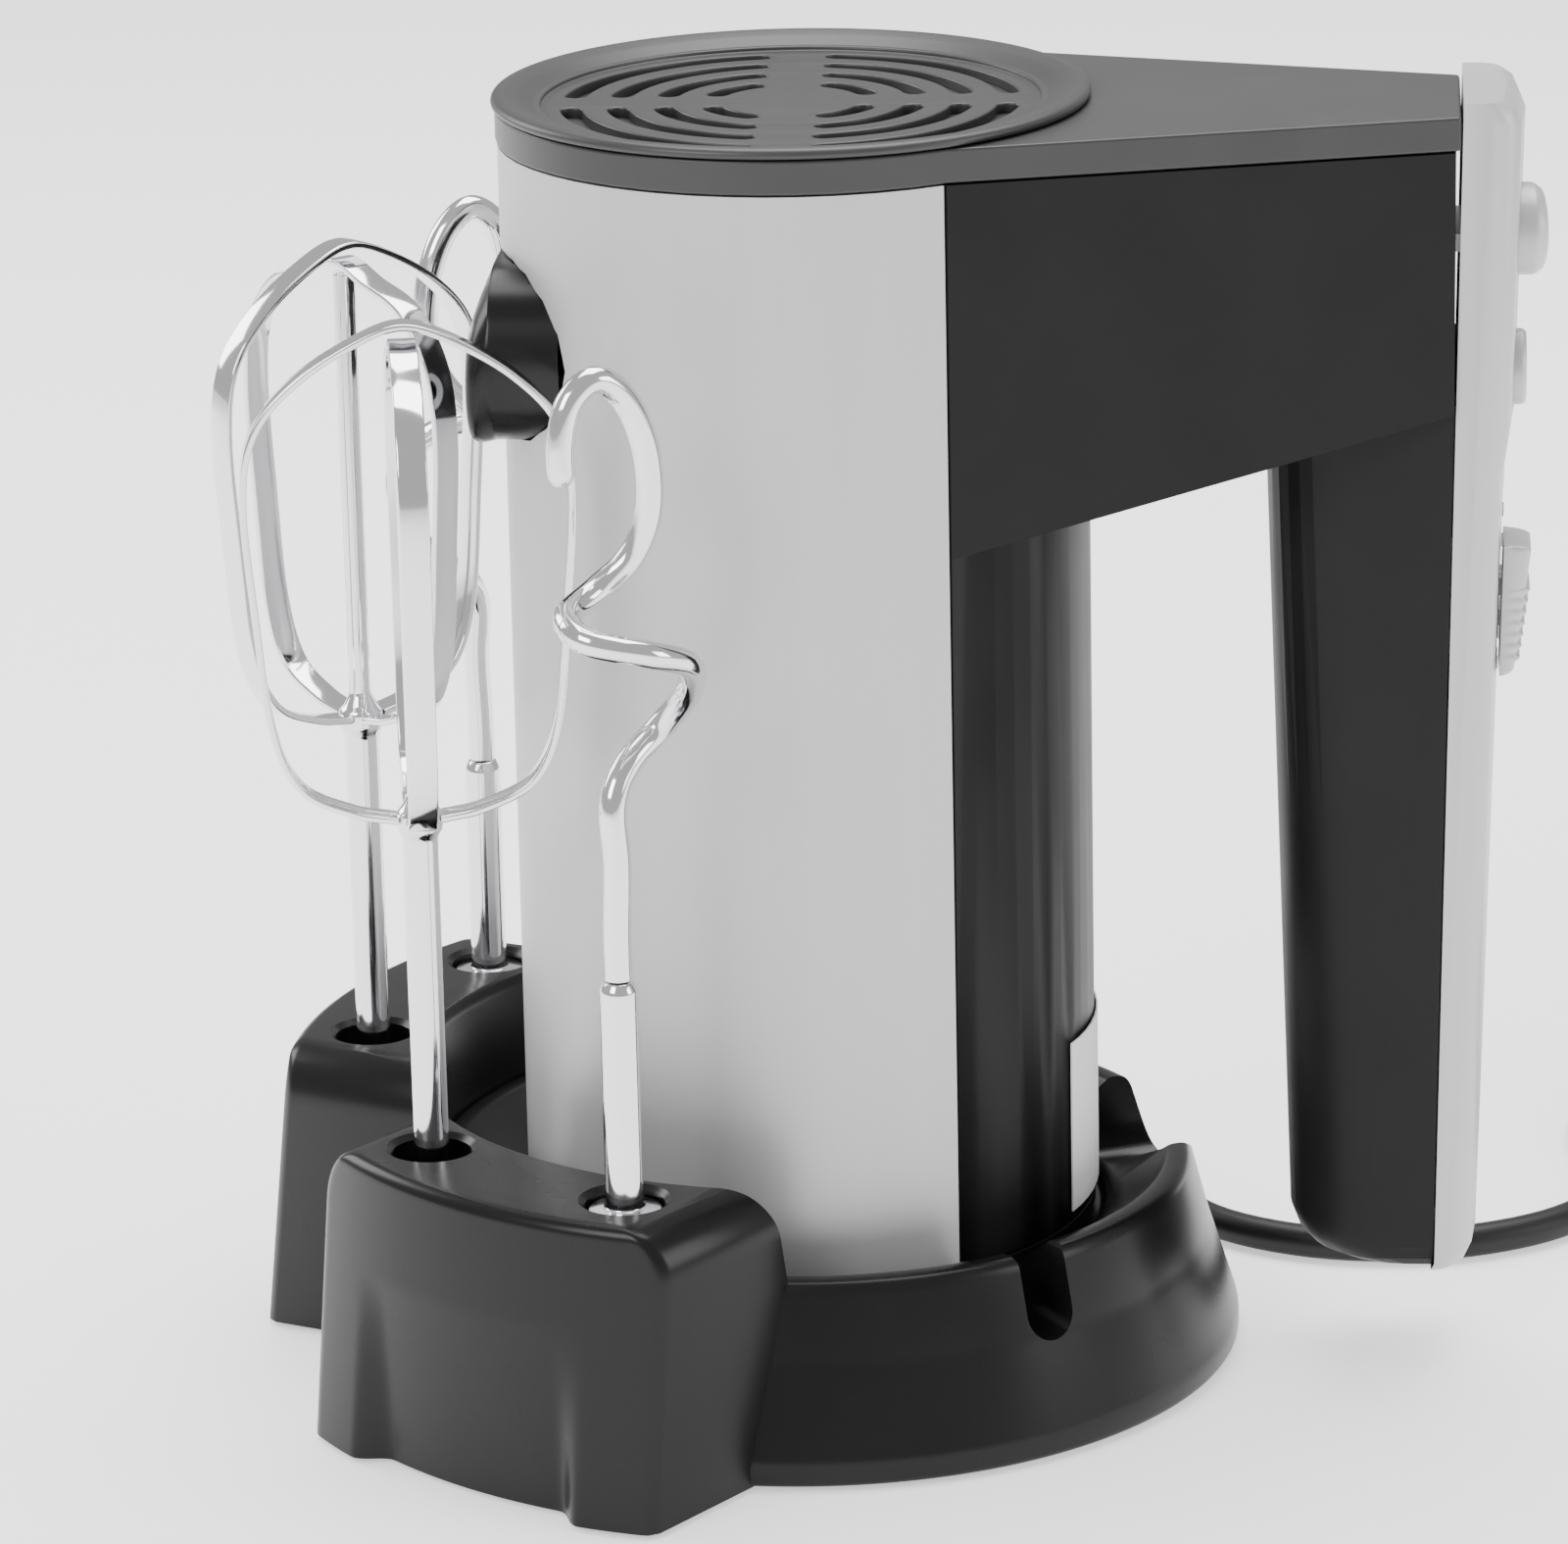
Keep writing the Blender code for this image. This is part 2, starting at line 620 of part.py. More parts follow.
def motor(mixer):
    outer = []
    for corner, (sx, sy) in enumerate(((1, 1), (-1, 1), (-1, -1), (1, -1))):
        outer += arc(8.0, corner * 90, corner * 90 + 90, 4, (22.0 * sx, 22.0 * sy))
    quarter = [(22.5, 24.0), (12.5, 24.0), (12.5, 14.6), (14.2, 9.9)] + arc(17.3, 35, 90, 5)[1:]
    inner = list(quarter)
    inner += [(-x, y) for x, y in reversed(quarter[:-1])]
    inner += [(-x, -y) for x, y in quarter]
    inner += [(x, -y) for x, y in reversed(quarter[:-1])]
    piece("motor_stator", prism(outer, 84.0, 120.0, holes=(inner,)), LAMINATION, mixer)
    for number, side in enumerate((-1, 1), start=1):
        low, high = sorted((side * 16.0, side * 23.2))
        outline = []
        hole = []
        for corner, (sx, sz) in enumerate(((1, 1), (-1, 1), (-1, -1), (1, -1))):
            outline += arc(5.0, corner * 90, corner * 90 + 90, 3, (16.5 * sx, 102.0 + 22.5 * sz))
            hole += arc(1.5, corner * 90, corner * 90 + 90, 2, (11.4 * sx, 102.0 + 17.0 * sz))
        piece(f"field_coil_{number}", prism(outline, low, high, "Y", (hole,)), COPPER, mixer)
    for name, low, reach in (("lower_bearing_bracket", 50.0, 45.6), ("upper_bearing_bracket", 191.8, 30.3)):
        windows = []
        for i in range(3):
            outer_edge = arc(reach - 4.5, i * 120 + 12, i * 120 + 108, 6)
            windows.append(outer_edge + arc(13.0, i * 120 + 98, i * 120 + 22, 4))
        plate = prism(ring_outline(reach, 30), low, low + 3.0, holes=(ring_outline(8.4, 16), *windows))
        piece(name, plate, BLACK, mixer)
        bush = [(4.4, low - 2.0), (8.0, low - 2.0), (8.0, low + 5.0), (4.4, low + 5.0)]
        piece(name.replace("bracket", "bush"), turned(bush, 16), BRASS, mixer)
    for number, side in enumerate((-1, 1), start=1):
        low, high = sorted((side * 12.5, side * 30.0))
        tube = prism(rectangle(-4.2, 60.8, 4.2, 70.2), low, high, "X", (rectangle(-3.3, 61.7, 3.3, 69.3),))
        piece(f"brush_holder_{number}", tube, BRASS, mixer)
        low, high = sorted((side * 10.9, side * 26.0))
        brush = prism(rectangle(-3.0, 62.0, 3.0, 69.0), low, high, "X")
        piece(f"carbon_brush_{number}", brush, CARBON, mixer)


def worm_radius(angle, z):
    """Two-start thread on the shaft around the tool wheels."""
    if not WORM_LOW <= z <= WORM_HIGH:
        return 3.9
    return 3.95 + 0.6 * math.cos(2 * angle - z * math.tau / 6.0)


def rotor(mixer):
    rings = []
    levels = [42.0, 58.0, WORM_LOW - 1.0] + [WORM_LOW + 1.5 * i for i in range(14)] + [WORM_HIGH + 1.0, 215.5]
    for z in levels:
        ring = []
        for i in range(12):
            angle = math.tau * i / 12
            radius = worm_radius(angle, z)
            ring.append((radius * math.cos(angle), radius * math.sin(angle), z))
        rings.append(ring)
    piece("motor_shaft", lofted(rings), STEEL, mixer)
    winding = [
        (4.2, 77.0), (10.0, 77.0), (14.0, 80.0), (14.0, 84.0), (16.7, 84.0), (16.7, 120.0),
        (14.0, 120.0), (14.0, 124.0), (10.0, 127.0), (4.2, 127.0),
    ]
    piece("armature", turned(winding, 20), COPPER, mixer)
    bars = []
    for i in range(12):
        bars += arc(10.5, i * 30, i * 30 + 24, 2) + arc(9.8, i * 30 + 25, i * 30 + 29, 1)
    piece("commutator", prism(bars, 60.0, 72.0, holes=(ring_outline(4.2, 16),)), COPPER, mixer)
    blades = []
    for i in range(9):
        blades += arc(9.0, i * 40 + 6, i * 40 + 34, 2)
        blades += arc(38.0, i * 40 + 45, i * 40 + 46.5, 1)
    piece("cooling_fan", prism(blades, 206.0, 214.0, holes=(ring_outline(4.2, 16),)), NYLON, mixer)


def gearbox(mixer):
    inside = rectangle(-27.6, -31.5, 11.6, 31.5)
    outside = rectangle(-30.0, -33.6, 14.0, 33.6)
    frame = prism(outside, SPINDLE_Z - 13.5, SPINDLE_Z + 13.5, holes=(inside,))
    frame = piece("gearbox_frame", frame, NYLON, mixer)
    for name, side in (("left", -1), ("right", 1)):
        y = side * SPINDLE_Y
        front = turned([(0, -40), (6.4, -40), (6.4, -20), (0, -20)], 20)
        boolean(frame, cutter(f"gearbox_front_{name}", along_x(front, 0, y, SPINDLE_Z), mixer))
        rear = turned([(0, 5), (4.4, 5), (4.4, 20), (0, 20)], 20)
        boolean(frame, cutter(f"gearbox_rear_{name}", along_x(rear, 0, y, SPINDLE_Z), mixer))
        origin = (0, y, SPINDLE_Z)
        tube = [
            (0, -16.0), (3.6, -16.0), (3.6, SPINDLE_MOUTH_X), (6.1, SPINDLE_MOUTH_X),
            (6.1, -10.0), (4.0, -10.0), (4.0, 13.5), (0, 13.5),
        ]
        piece(f"{name}_spindle", along_x(turned(tube, 24), 0, y, SPINDLE_Z), STEEL, mixer, origin)
        teeth = []
        pitch = 360 / WHEEL_TEETH
        for i in range(WHEEL_TEETH):
            middle = pitch * (i + 0.5)
            teeth += arc(11.4, middle - 11.5, middle - 7.5, 1) + arc(13.0, middle - 3.2, middle + 3.2, 1)
        wheel = prism(teeth, -4.0, 4.0, holes=(ring_outline(4.3, 20),))
        piece(f"{name}_worm_wheel", along_x(wheel, 0, y, SPINDLE_Z), NYLON, mixer, origin)


def wing_section(z):
    """Plan of one tool wing at a height: inner arc, outer arc and straight sides."""
    slope = (WING_TOP - z) / WING_TOP
    outer = 92.8 + 5.8 * slope
    inner = 66.4 + max(z - RIM_Z, 0.0) * 0.155
    half = 38.3
    if z > 44.0:
        rise = min((z - 44.0) / (WING_TOP - 44.0), 1.0)
        half = 30.0 + 8.3 * math.sqrt(max(1 - rise * rise, 0.0))
    if z > 51.0:
        outer -= (z - 51.0) * 1.1
    ring = []
    for i in range(15):
        v = half * (i / 7 - 1)
        share = min(max((25.5 - abs(v)) / 5.5, 0.0), 1.0)
        dent = 5.0 * max(1 - z / 34.0, 0.0) * share * share * (3 - 2 * share)
        ring.append((-math.sqrt(outer * outer - v * v) + dent, v, z))
    for i in range(9):
        v = half * (1 - i / 4)
        ring.append((-math.sqrt(inner * inner - v * v), v, z))
    return ring


def storage_stand(stand):
    profile = [
        (0, SEAT_Z), (51.6, SEAT_Z), (52.4, 26.5), (62.2, 33.8), (63.4, RIM_Z), (66.0, RIM_Z), (67.3, 33.4),
        (70.5, 21.0), (75.6, STAND_BOTTOM + 4.0), (75.6, STAND_BOTTOM), (72.8, STAND_BOTTOM),
        (67.5, 17.6), (0, 17.6),
    ]
    body = piece("storage_stand", turned(profile, 54), DEEP_BLACK, stand)
    levels = [STAND_BOTTOM, 17.0, 34.0, 44.0, 47.5, 50.0, 51.4, 52.3, WING_TOP]
    for side in (-1, 1):
        wing = about_z(lofted([wing_section(z) for z in levels]), side * WING_ANGLE)
        boolean(body, cutter(f"stand_wing_{side + 2}", wing, stand), "UNION")
    for number, (x, y) in enumerate(hole_places(), start=1):
        hole = turned([(0, HOLE_FLOOR), (HOLE_R, HOLE_FLOOR), (HOLE_R, 60.0), (0, 60.0)], 20)
        bmesh.ops.translate(hole, verts=hole.verts, vec=(x, y, 0))
        boolean(body, cutter(f"stand_hole_{number}", hole, stand))
    for side in (-1, 1):
        outline = [(-NOTCH_HALF, 45.0), (-NOTCH_HALF, NOTCH_CENTRE_Z)]
        outline += arc(NOTCH_HALF, 180, 360, 8, (0, NOTCH_CENTRE_Z))[1:]
        outline += [(NOTCH_HALF, 45.0)]
        notch = about_z(prism(outline, 52.8, 85.0, "X"), side * NOTCH_ANGLE)
        boolean(body, cutter(f"stand_notch_{side + 2}", notch, stand))
    gap = [
        (-26.0, 45.0), (-23.0, 34.2), (-16.0, 30.5), (3.0, LEDGE_Z), (9.0, LEDGE_Z), (11.6, 22.0),
        (12.6, 25.0), (14.6, 45.0),
    ]
    opening = about_z(prism(gap, 52.8, 85.0, "X"), 6.5)
    boolean(body, cutter("stand_gap", opening, stand))


def hole_places():
    places = []
    for angle in (-OUTER_HOLE_ANGLE, -INNER_HOLE_ANGLE, INNER_HOLE_ANGLE, OUTER_HOLE_ANGLE):
        turn = math.radians(angle)
        places.append((-HOLE_CIRCLE_R * math.cos(turn), HOLE_CIRCLE_R * math.sin(turn)))
    return places


def stand_feet(stand):
    for number, angle in enumerate((45, 135, 225, 315), start=1):
        turn = math.radians(angle)
        foot = turned([(0, 0), (5.5, 0), (6.0, 0.5), (6.0, 17.3), (0, 17.3)], 16)
        place = (58.0 * math.cos(turn), 58.0 * math.sin(turn), 0)
        bmesh.ops.translate(foot, verts=foot.verts, vec=place)
        piece(f"stand_foot_{number}", foot, RUBBER, stand)


def whisk_loop_path(top):
    """Half of a whisk loop from the shaft out, up and over its top end."""
    route = [
        (3.6, 0, 104.5), (11.0, 0, 106.0), (19.5, 0, 110.5), (24.0, 0, 121.0), (26.0, 0, 140.0),
        (27.3, 0, 160.0), (25.2, 0, 172.0), (18.0, 0, 180.5), (8.0, 0, top - 2.6), (0.0, 0, top),
    ]
    half = smooth_path(route, 1)
    other = [Vector((-p.x, 0, p.z)) for p in reversed(half[:-1])]
    return half + other


def whisk(name, place, turn, stand):
    profile = [
        (0, 0), (1.8, 0), (3.0, 12.0), (3.0, 33.0), (4.4, 34.5), (4.4, 37.5), (3.0, 39.0),
        (3.0, 106.0), (1.9, 108.0), (1.9, 184.6), (0, 184.6),
    ]
    shaft = turned(profile, 12)
    lift = Vector((place[0], place[1], TOOL_TIP_Z))
    bmesh.ops.translate(shaft, verts=shaft.verts, vec=lift)
    piece(f"{name}_shaft", shaft, CHROME, stand, lift)
    for letter, angle, top in (("a", turn, TOOL_LENGTH - 0.6), ("b", turn + 90, TOOL_LENGTH - 3.6)):
        strip = swept(whisk_loop_path(top), rectangle(-0.6, -2.5, 0.6, 2.5), (0, 1, 0))
        about_z(strip, angle)
        bmesh.ops.translate(strip, verts=strip.verts, vec=lift)
        piece(f"{name}_loop_{letter}", strip, CHROME, stand, lift)


def dough_hook(name, place, turn, stand):
    route = [
        (0, 0, 84.3), (0, 0, 92.0), (0.4, 0, 104.0), (0.2, 0.5, 114.0), (4.0, 2.0, 120.0),
        (11.0, 3.0, 125.0), (13.0, -3.0, 132.0), (9.0, -10.0, 139.0), (0.0, -12.5, 143.0),
        (-8.5, -7.5, 145.5), (-7.5, 0.5, 147.5), (0.0, 4.0, 150.0), (6.0, 2.5, 155.0),
        (8.5, 0.5, 163.0), (8.0, 0, 173.0), (4.5, 0, 182.0), (-1.0, 0, 186.4), (-6.0, 0, 183.5),
        (-8.0, 0, 177.0), (-8.0, 0, 170.0),
    ]
    lift = Vector((place[0], place[1], TOOL_TIP_Z))
    wire = about_z(transported(smooth_path(route, 2), 2.3, 6), turn)
    bmesh.ops.translate(wire, verts=wire.verts, vec=lift)
    piece(f"{name}_wire", wire, CHROME, stand, lift)
    profile = [
        (0, 0), (1.8, 0), (3.2, 12.0), (3.2, 32.0), (4.4, 33.5), (4.4, 36.5), (3.2, 38.0),
        (3.2, 42.0), (6.4, 42.4), (6.4, 43.8), (3.2, 44.2), (3.2, 83.0), (2.4, 84.0), (0, 84.0),
    ]
    shank = turned(profile, 16)
    bmesh.ops.translate(shank, verts=shank.verts, vec=lift)
    piece(f"{name}_shank", shank, CHROME, stand, lift)


def tools(stand):
    near_outer, near_inner, far_inner, far_outer = hole_places()
    whisk("left_whisk", near_inner, -7.0, stand)
    whisk("right_whisk", far_inner, 28.0, stand)
    dough_hook("left_hook", near_outer, 20.0, stand)
    dough_hook("right_hook", far_outer, 200.0, stand)


# The cord's route on the table, in the mixer's axes: round the back of the stand, past the
# grip and off to the coil.
CORD_ROUTE = [
    (7.9, 75.4, 35.0), (9.0, 86.0, 34.2), (13.5, 96.5, 28.6), (23.5, 103.5, 18.5), (36.5, 101.0, 8.4),
    (47.0, 90.0, 3.6), (55.5, 75.0, 3.1), (62.5, 59.0, 3.1), (72.5, 45.5, 3.1), (88.0, 37.5, 3.1),
    (105.0, 36.0, 3.1), (120.0, 40.0, 3.1), (133.0, 48.5, 3.1), (141.8, 61.0, 3.1), (147.0, 75.9, 3.1),
]
CORD_TAIL = [(221.4, 98.0, 3.1), (222.0, 91.0, 3.1), (222.2, 84.0, 3.1)]


def cord_tube(name, route, per_span, mixer):
    points = smooth_path(route, per_span)
    data = bpy.data.curves.new(name, "CURVE")
    data.dimensions = "3D"
    data.bevel_depth = CORD_R * MM
    data.bevel_resolution = 2
    data.use_fill_caps = True
    spline = data.splines.new("POLY")
    spline.points.add(len(points) - 1)
    for slot, point in zip(spline.points, points):
        slot.co = (*(point * MM), 1.0)
    data.materials.append(material(RUBBER))
    cord = bpy.data.objects.new(name, data)
    cord.parent = mixer
    bpy.context.scene.collection.objects.link(cord)


def cord_set(mixer):
    cord_tube("cord_lead", CORD_ROUTE, 3, mixer)
    cord_tube("cord_tail", CORD_TAIL, 3, mixer)
    low = COIL_MEAN_R - COIL_HALF
    high = COIL_MEAN_R + COIL_HALF
    coil = turned([(low, 0.1), (high, 0.1), (high, COIL_HEIGHT), (low, COIL_HEIGHT)], 32)
    bmesh.ops.translate(coil, verts=coil.verts, vec=(COIL_X, COIL_Y, 0))
    piece("cord_coil", coil, RUBBER, mixer)
    end = Vector(CORD_TAIL[-1])
    sections = []
    for distance, wide, thick in ((0.4, 3.6, 2.9), (14.0, 4.4, 2.95), (20.0, 8.5, 3.6), (24.0, 13.0, 5.6),
                                               (38.0, 13.4, 6.2), (46.0, 12.0, 5.4)):
        height = thick + 0.15
        section = []
        for a, b in ring_outline(1.0, 16):
            section.append((end.x + wide * a, end.y - distance, height + thick * b))
        sections.append(section)
    piece("plug_body", lofted(sections), RUBBER, mixer)
    for number, side in enumerate((-1, 1), start=1):
        pin = turned([(0, 0), (2.4, 0), (2.4, 17.5), (1.6, 19.0), (0, 19.0)], 12)
        bmesh.ops.rotate(pin, verts=pin.verts, matrix=Matrix.Rotation(math.radians(90), 3, "X"))
        bmesh.ops.translate(pin, verts=pin.verts, vec=(end.x + side * 9.3, end.y - 46.3, 5.55))
        piece(f"plug_pin_{number}", pin, CHROME, mixer)


def build():
    clear_scene()
    mixer = assembly("mixer_axis")
    stand = assembly("stand_axis", STAND_TURN)
    housing_half("housing_left", -1, mixer)
    housing_half("housing_right", 1, mixer)
    motor_sleeve(mixer)
    heel_cap(mixer)
    top_plate(mixer)
    vent_grille(mixer)
    tool_snout(mixer)
    handle_cover(mixer)
    rating_label(mixer)
    strain_relief(mixer)
    eject_parts(mixer)
    turbo_button(mixer)
    speed_slider(mixer)
    circuit(mixer)
    motor(mixer)
    rotor(mixer)
    gearbox(mixer)
    storage_stand(stand)
    stand_feet(stand)
    tools(stand)
    cord_set(mixer)


build()
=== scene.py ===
"""Looks of the hand mixer in its storage stand: finishes, fine surfaces, cord, lights and camera."""

import json
import logging
import math
from dataclasses import dataclass
from enum import Enum

import bmesh
import bpy
import numpy as np
from mathutils import Matrix, Vector


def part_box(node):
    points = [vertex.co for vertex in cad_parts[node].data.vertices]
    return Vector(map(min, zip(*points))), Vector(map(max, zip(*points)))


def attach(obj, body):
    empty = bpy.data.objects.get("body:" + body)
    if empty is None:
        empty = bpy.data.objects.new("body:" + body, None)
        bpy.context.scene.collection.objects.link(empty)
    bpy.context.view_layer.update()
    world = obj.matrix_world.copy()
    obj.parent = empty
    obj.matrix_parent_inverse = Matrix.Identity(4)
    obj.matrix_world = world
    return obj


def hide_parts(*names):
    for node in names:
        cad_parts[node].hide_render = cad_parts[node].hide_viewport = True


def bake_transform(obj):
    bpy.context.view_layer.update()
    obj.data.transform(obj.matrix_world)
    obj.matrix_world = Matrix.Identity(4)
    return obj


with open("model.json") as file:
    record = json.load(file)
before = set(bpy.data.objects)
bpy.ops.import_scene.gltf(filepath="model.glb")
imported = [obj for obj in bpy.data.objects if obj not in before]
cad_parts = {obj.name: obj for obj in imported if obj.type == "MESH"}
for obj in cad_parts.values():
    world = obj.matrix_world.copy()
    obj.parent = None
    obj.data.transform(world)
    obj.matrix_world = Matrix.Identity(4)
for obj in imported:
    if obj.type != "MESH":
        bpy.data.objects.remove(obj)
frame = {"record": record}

logging.basicConfig(level=logging.INFO, format="%(message)s")
LOG = logging.getLogger("hand_mixer")

Route = tuple[tuple[float, float, float], ...]

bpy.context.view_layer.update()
MM = 0.001
SHAFT_LOW, SHAFT_HIGH = (np.array(corner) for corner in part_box("motor_shaft"))
AXIS = np.array([*(SHAFT_LOW + SHAFT_HIGH)[:2] / 2, 0.0])
STAND_TURN = 17.0
WELD = 2e-7
SLIVER = 1e-7
CAD_WELD = 5e-6
FLAT_ANGLE = 0.6
ROUND_COSINE = 0.98


def axis_point(x: float, y: float, z: float) -> np.ndarray:
    """World point in metres of a point in millimetres from the motor body's axis."""
    return AXIS + np.array([x, y, z]) * MM


def turned_about(points: np.ndarray, degrees: float, centre: tuple[float, float] = (0.0, 0.0)) -> np.ndarray:
    """Points turned about a vertical line.

    Args:
        points: (..., 3) points.
        degrees: angle, anticlockwise from above.
        centre: the line's x and y.

    Returns:
        The turned points.
    """
    angle = math.radians(degrees)
    spin = np.array([[math.cos(angle), -math.sin(angle)], [math.sin(angle), math.cos(angle)]])
    moved = np.array(points, float)
    moved[..., :2] = (moved[..., :2] - centre) @ spin.T + centre
    return moved


def smooth_path(route: np.ndarray, per_span: int) -> np.ndarray:
    """Catmull-Rom curve: in each span the cubic whose end slopes are half the neighbours' difference.

    Args:
        route: (n, 3) points that the curve goes through.
        per_span: points made for each span.

    Returns:
        ((n - 1) * per_span + 1, 3) points.
    """
    route = np.array(route, float)
    ends = np.vstack([2 * route[0] - route[1], route, 2 * route[-1] - route[-2]])
    a, b, c, d = (ends[i : len(ends) - 3 + i, None] for i in range(4))
    t = (np.arange(per_span) / per_span)[None, :, None]
    curve = 0.5 * (2 * b + (c - a) * t + (2 * a - 5 * b + 4 * c - d) * t**2
                   + (3 * b - a - 3 * c + d) * t**3)
    return np.vstack([curve.reshape(-1, 3), route[-1:]])


def unit(vectors: np.ndarray) -> np.ndarray:
    """Vectors at length one."""
    return vectors / np.linalg.norm(vectors, axis=-1, keepdims=True)


def around(angle: np.ndarray | list[float]) -> np.ndarray:
    """(n, 2) cosines and sines of n angles in radians."""
    return np.stack([np.cos(angle), np.sin(angle)], axis=1)


def circle(radius: float, steps: int) -> np.ndarray:
    """(steps, 2) points on a circle at evenly spaced angles."""
    return radius * around(np.linspace(0, math.tau, steps, endpoint=False))


def fallen(share: np.ndarray) -> np.ndarray:
    """How far a quarter circle of radius 1 has fallen: 0 until share 0, and 1 from share 1 on."""
    return 1 - np.sqrt(1 - np.clip(share, 0, 1) ** 2)


def gridded(x: np.ndarray, y: np.ndarray, z: np.ndarray) -> np.ndarray:
    """A grid of points from three arrays that are spread to one shape."""
    return np.stack(np.broadcast_arrays(x, y, z), axis=-1)


def rounded_box(half_a: float, half_b: float, corner: float, steps: int = 4) -> np.ndarray:
    """Outline of a rectangle whose corners are quarter circles.

    Args:
        half_a: half width.
        half_b: half height.
        corner: the corner circles' radius.
        steps: segments in each corner.

    Returns:
        (4 * (steps + 1), 2) points, anticlockwise.
    """
    quarter = np.linspace(0, math.pi / 2, steps + 1)
    angle = (quarter + np.arange(4)[:, None] * math.pi / 2).ravel()
    signs = np.repeat([[1, 1], [-1, 1], [-1, -1], [1, -1]], steps + 1, axis=0)
    middle = signs * [half_a - corner, half_b - corner]
    return middle + corner * around(angle)


def carried(path: np.ndarray, section: np.ndarray) -> np.ndarray:
    """A section carried along a path without twist.

    The side direction at each path point is the one before it with its part along the path
    taken away, so the frame never turns about the path.

    Args:
        path: (n, 3) points.
        section: (m, 2) points, or (n, m, 2) where the section changes along the path.

    Returns:
        (n, m, 3) grid of points.
    """
    ahead = unit(np.gradient(path, axis=0))
    side = np.zeros_like(path)
    side[0] = unit(np.cross(ahead[0], [0.31, 0.22, 0.92]))
    for i in range(1, len(path)):
        side[i] = unit(side[i - 1] - ahead[i] * side[i - 1].dot(ahead[i]))
    over = np.cross(ahead, side)
    section = np.broadcast_to(section, (len(path), *section.shape[-2:]))
    return path[:, None] + section[..., :1] * side[:, None] + section[..., 1:] * over[:, None]


def revolved(profile: np.ndarray, steps: int) -> np.ndarray:
    """A profile of (radius, height) turned about Z: x and y are the radius times cosine and sine.

    Args:
        profile: (n, 2) points from one end to the other.
        steps: segments of the turn.

    Returns:
        (n, steps, 3) grid of points.
    """
    profile = np.array(profile, float)
    ring = circle(1.0, steps)
    return gridded(profile[:, :1] * ring[:, 0], profile[:, :1] * ring[:, 1], profile[:, 1:])


def eased(profile: np.ndarray, radius: float, steps: int = 4) -> np.ndarray:
    """A polyline with each inner corner replaced by a curve.

    Each corner becomes a parabola between two points at most `radius` away along its two sides.

    Args:
        profile: (n, 2) points.
        radius: how far from a corner its curve starts.
        steps: segments in each curve.

    Returns:
        Points of the eased line.
    """
    profile = np.array(profile, float)
    corner = profile[1:-1]
    back = profile[:-2] - corner
    on = profile[2:] - corner
    reach_back = np.minimum(radius, 0.45 * np.linalg.norm(back, axis=1))[:, None]
    reach_on = np.minimum(radius, 0.45 * np.linalg.norm(on, axis=1))[:, None]
    start = corner + unit(back) * reach_back
    end = corner + unit(on) * reach_on
    t = np.linspace(0, 1, steps + 1)[None, :, None]
    curve = (1 - t) ** 2 * start[:, None] + 2 * t * (1 - t) * corner[:, None] + t**2 * end[:, None]
    return np.vstack([profile[:1], curve.reshape(-1, 2), profile[-1:]])


def along_x(grid: np.ndarray, y: float, z: float) -> np.ndarray:
    """A grid made about Z laid down so that its height points to +X, in millimetres from the axis."""
    return np.stack([grid[..., 2], grid[..., 0] + y, z - grid[..., 1]], axis=-1)


def grid_mesh(name: str, grids: list[np.ndarray]) -> bpy.types.Object:
    """One object from grids of points, each wrapped along its columns and capped at both ends.

    Args:
        name: the object's name.
        grids: (rows, columns, 3) points in metres.

    Returns:
        The object, with its place in its mesh.
    """
    points = []
    faces = []
    count = 0
    for grid in grids:
        rows, columns = grid.shape[:2]
        index = count + np.arange(rows * columns).reshape(rows, columns)
        after = np.roll(index, -1, axis=1)
        quads = np.stack([index[:-1], after[:-1], after[1:], index[1:]], axis=-1)
        faces += quads.reshape(-1, 4).tolist()
        faces += [index[0][::-1].tolist(), index[-1].tolist()]
        points.append(grid.reshape(-1, 3))
        count += rows * columns
    data = bpy.data.meshes.new(name)
    data.from_pydata(np.concatenate(points).tolist(), [], faces)
    return finished(name, data)


def solid(name: str, *grids: np.ndarray) -> bpy.types.Object:
    """One object from grids of points in millimetres from the motor body's axis."""
    return grid_mesh(name, [grid * MM + AXIS for grid in grids])


def linked(name: str, data: bpy.types.ID) -> bpy.types.Object:
    """A new object of the data, linked to the scene."""
    made = bpy.data.objects.new(name, data)
    bpy.context.scene.collection.objects.link(made)
    return made


def baked(drawn: bpy.types.Object) -> bpy.types.Mesh:
    """An object's evaluated shape as a mesh. The object itself is removed."""
    graph = bpy.context.evaluated_depsgraph_get()
    data = bpy.data.meshes.new_from_object(drawn.evaluated_get(graph))
    bpy.data.objects.remove(drawn)
    return data


def finished(name: str, data: bpy.types.Mesh, sharp: float = 35.0) -> bpy.types.Object:
    """An object of a mesh with doubles merged, faces pointing out and smooth shading.

    Args:
        name: the object's name.
        data: its mesh.
        sharp: the angle in degrees over which an edge stays sharp.

    Returns:
        The linked object.
    """
    work = bmesh.new()
    work.from_mesh(data)
    bmesh.ops.remove_doubles(work, verts=work.verts, dist=WELD)
    bmesh.ops.dissolve_degenerate(work, edges=work.edges, dist=SLIVER)
    bmesh.ops.recalc_face_normals(work, faces=work.faces)
    work.to_mesh(data)
    work.free()
    data.shade_smooth()
    data.set_sharp_from_angle(angle=math.radians(sharp))
    return linked(name, data)


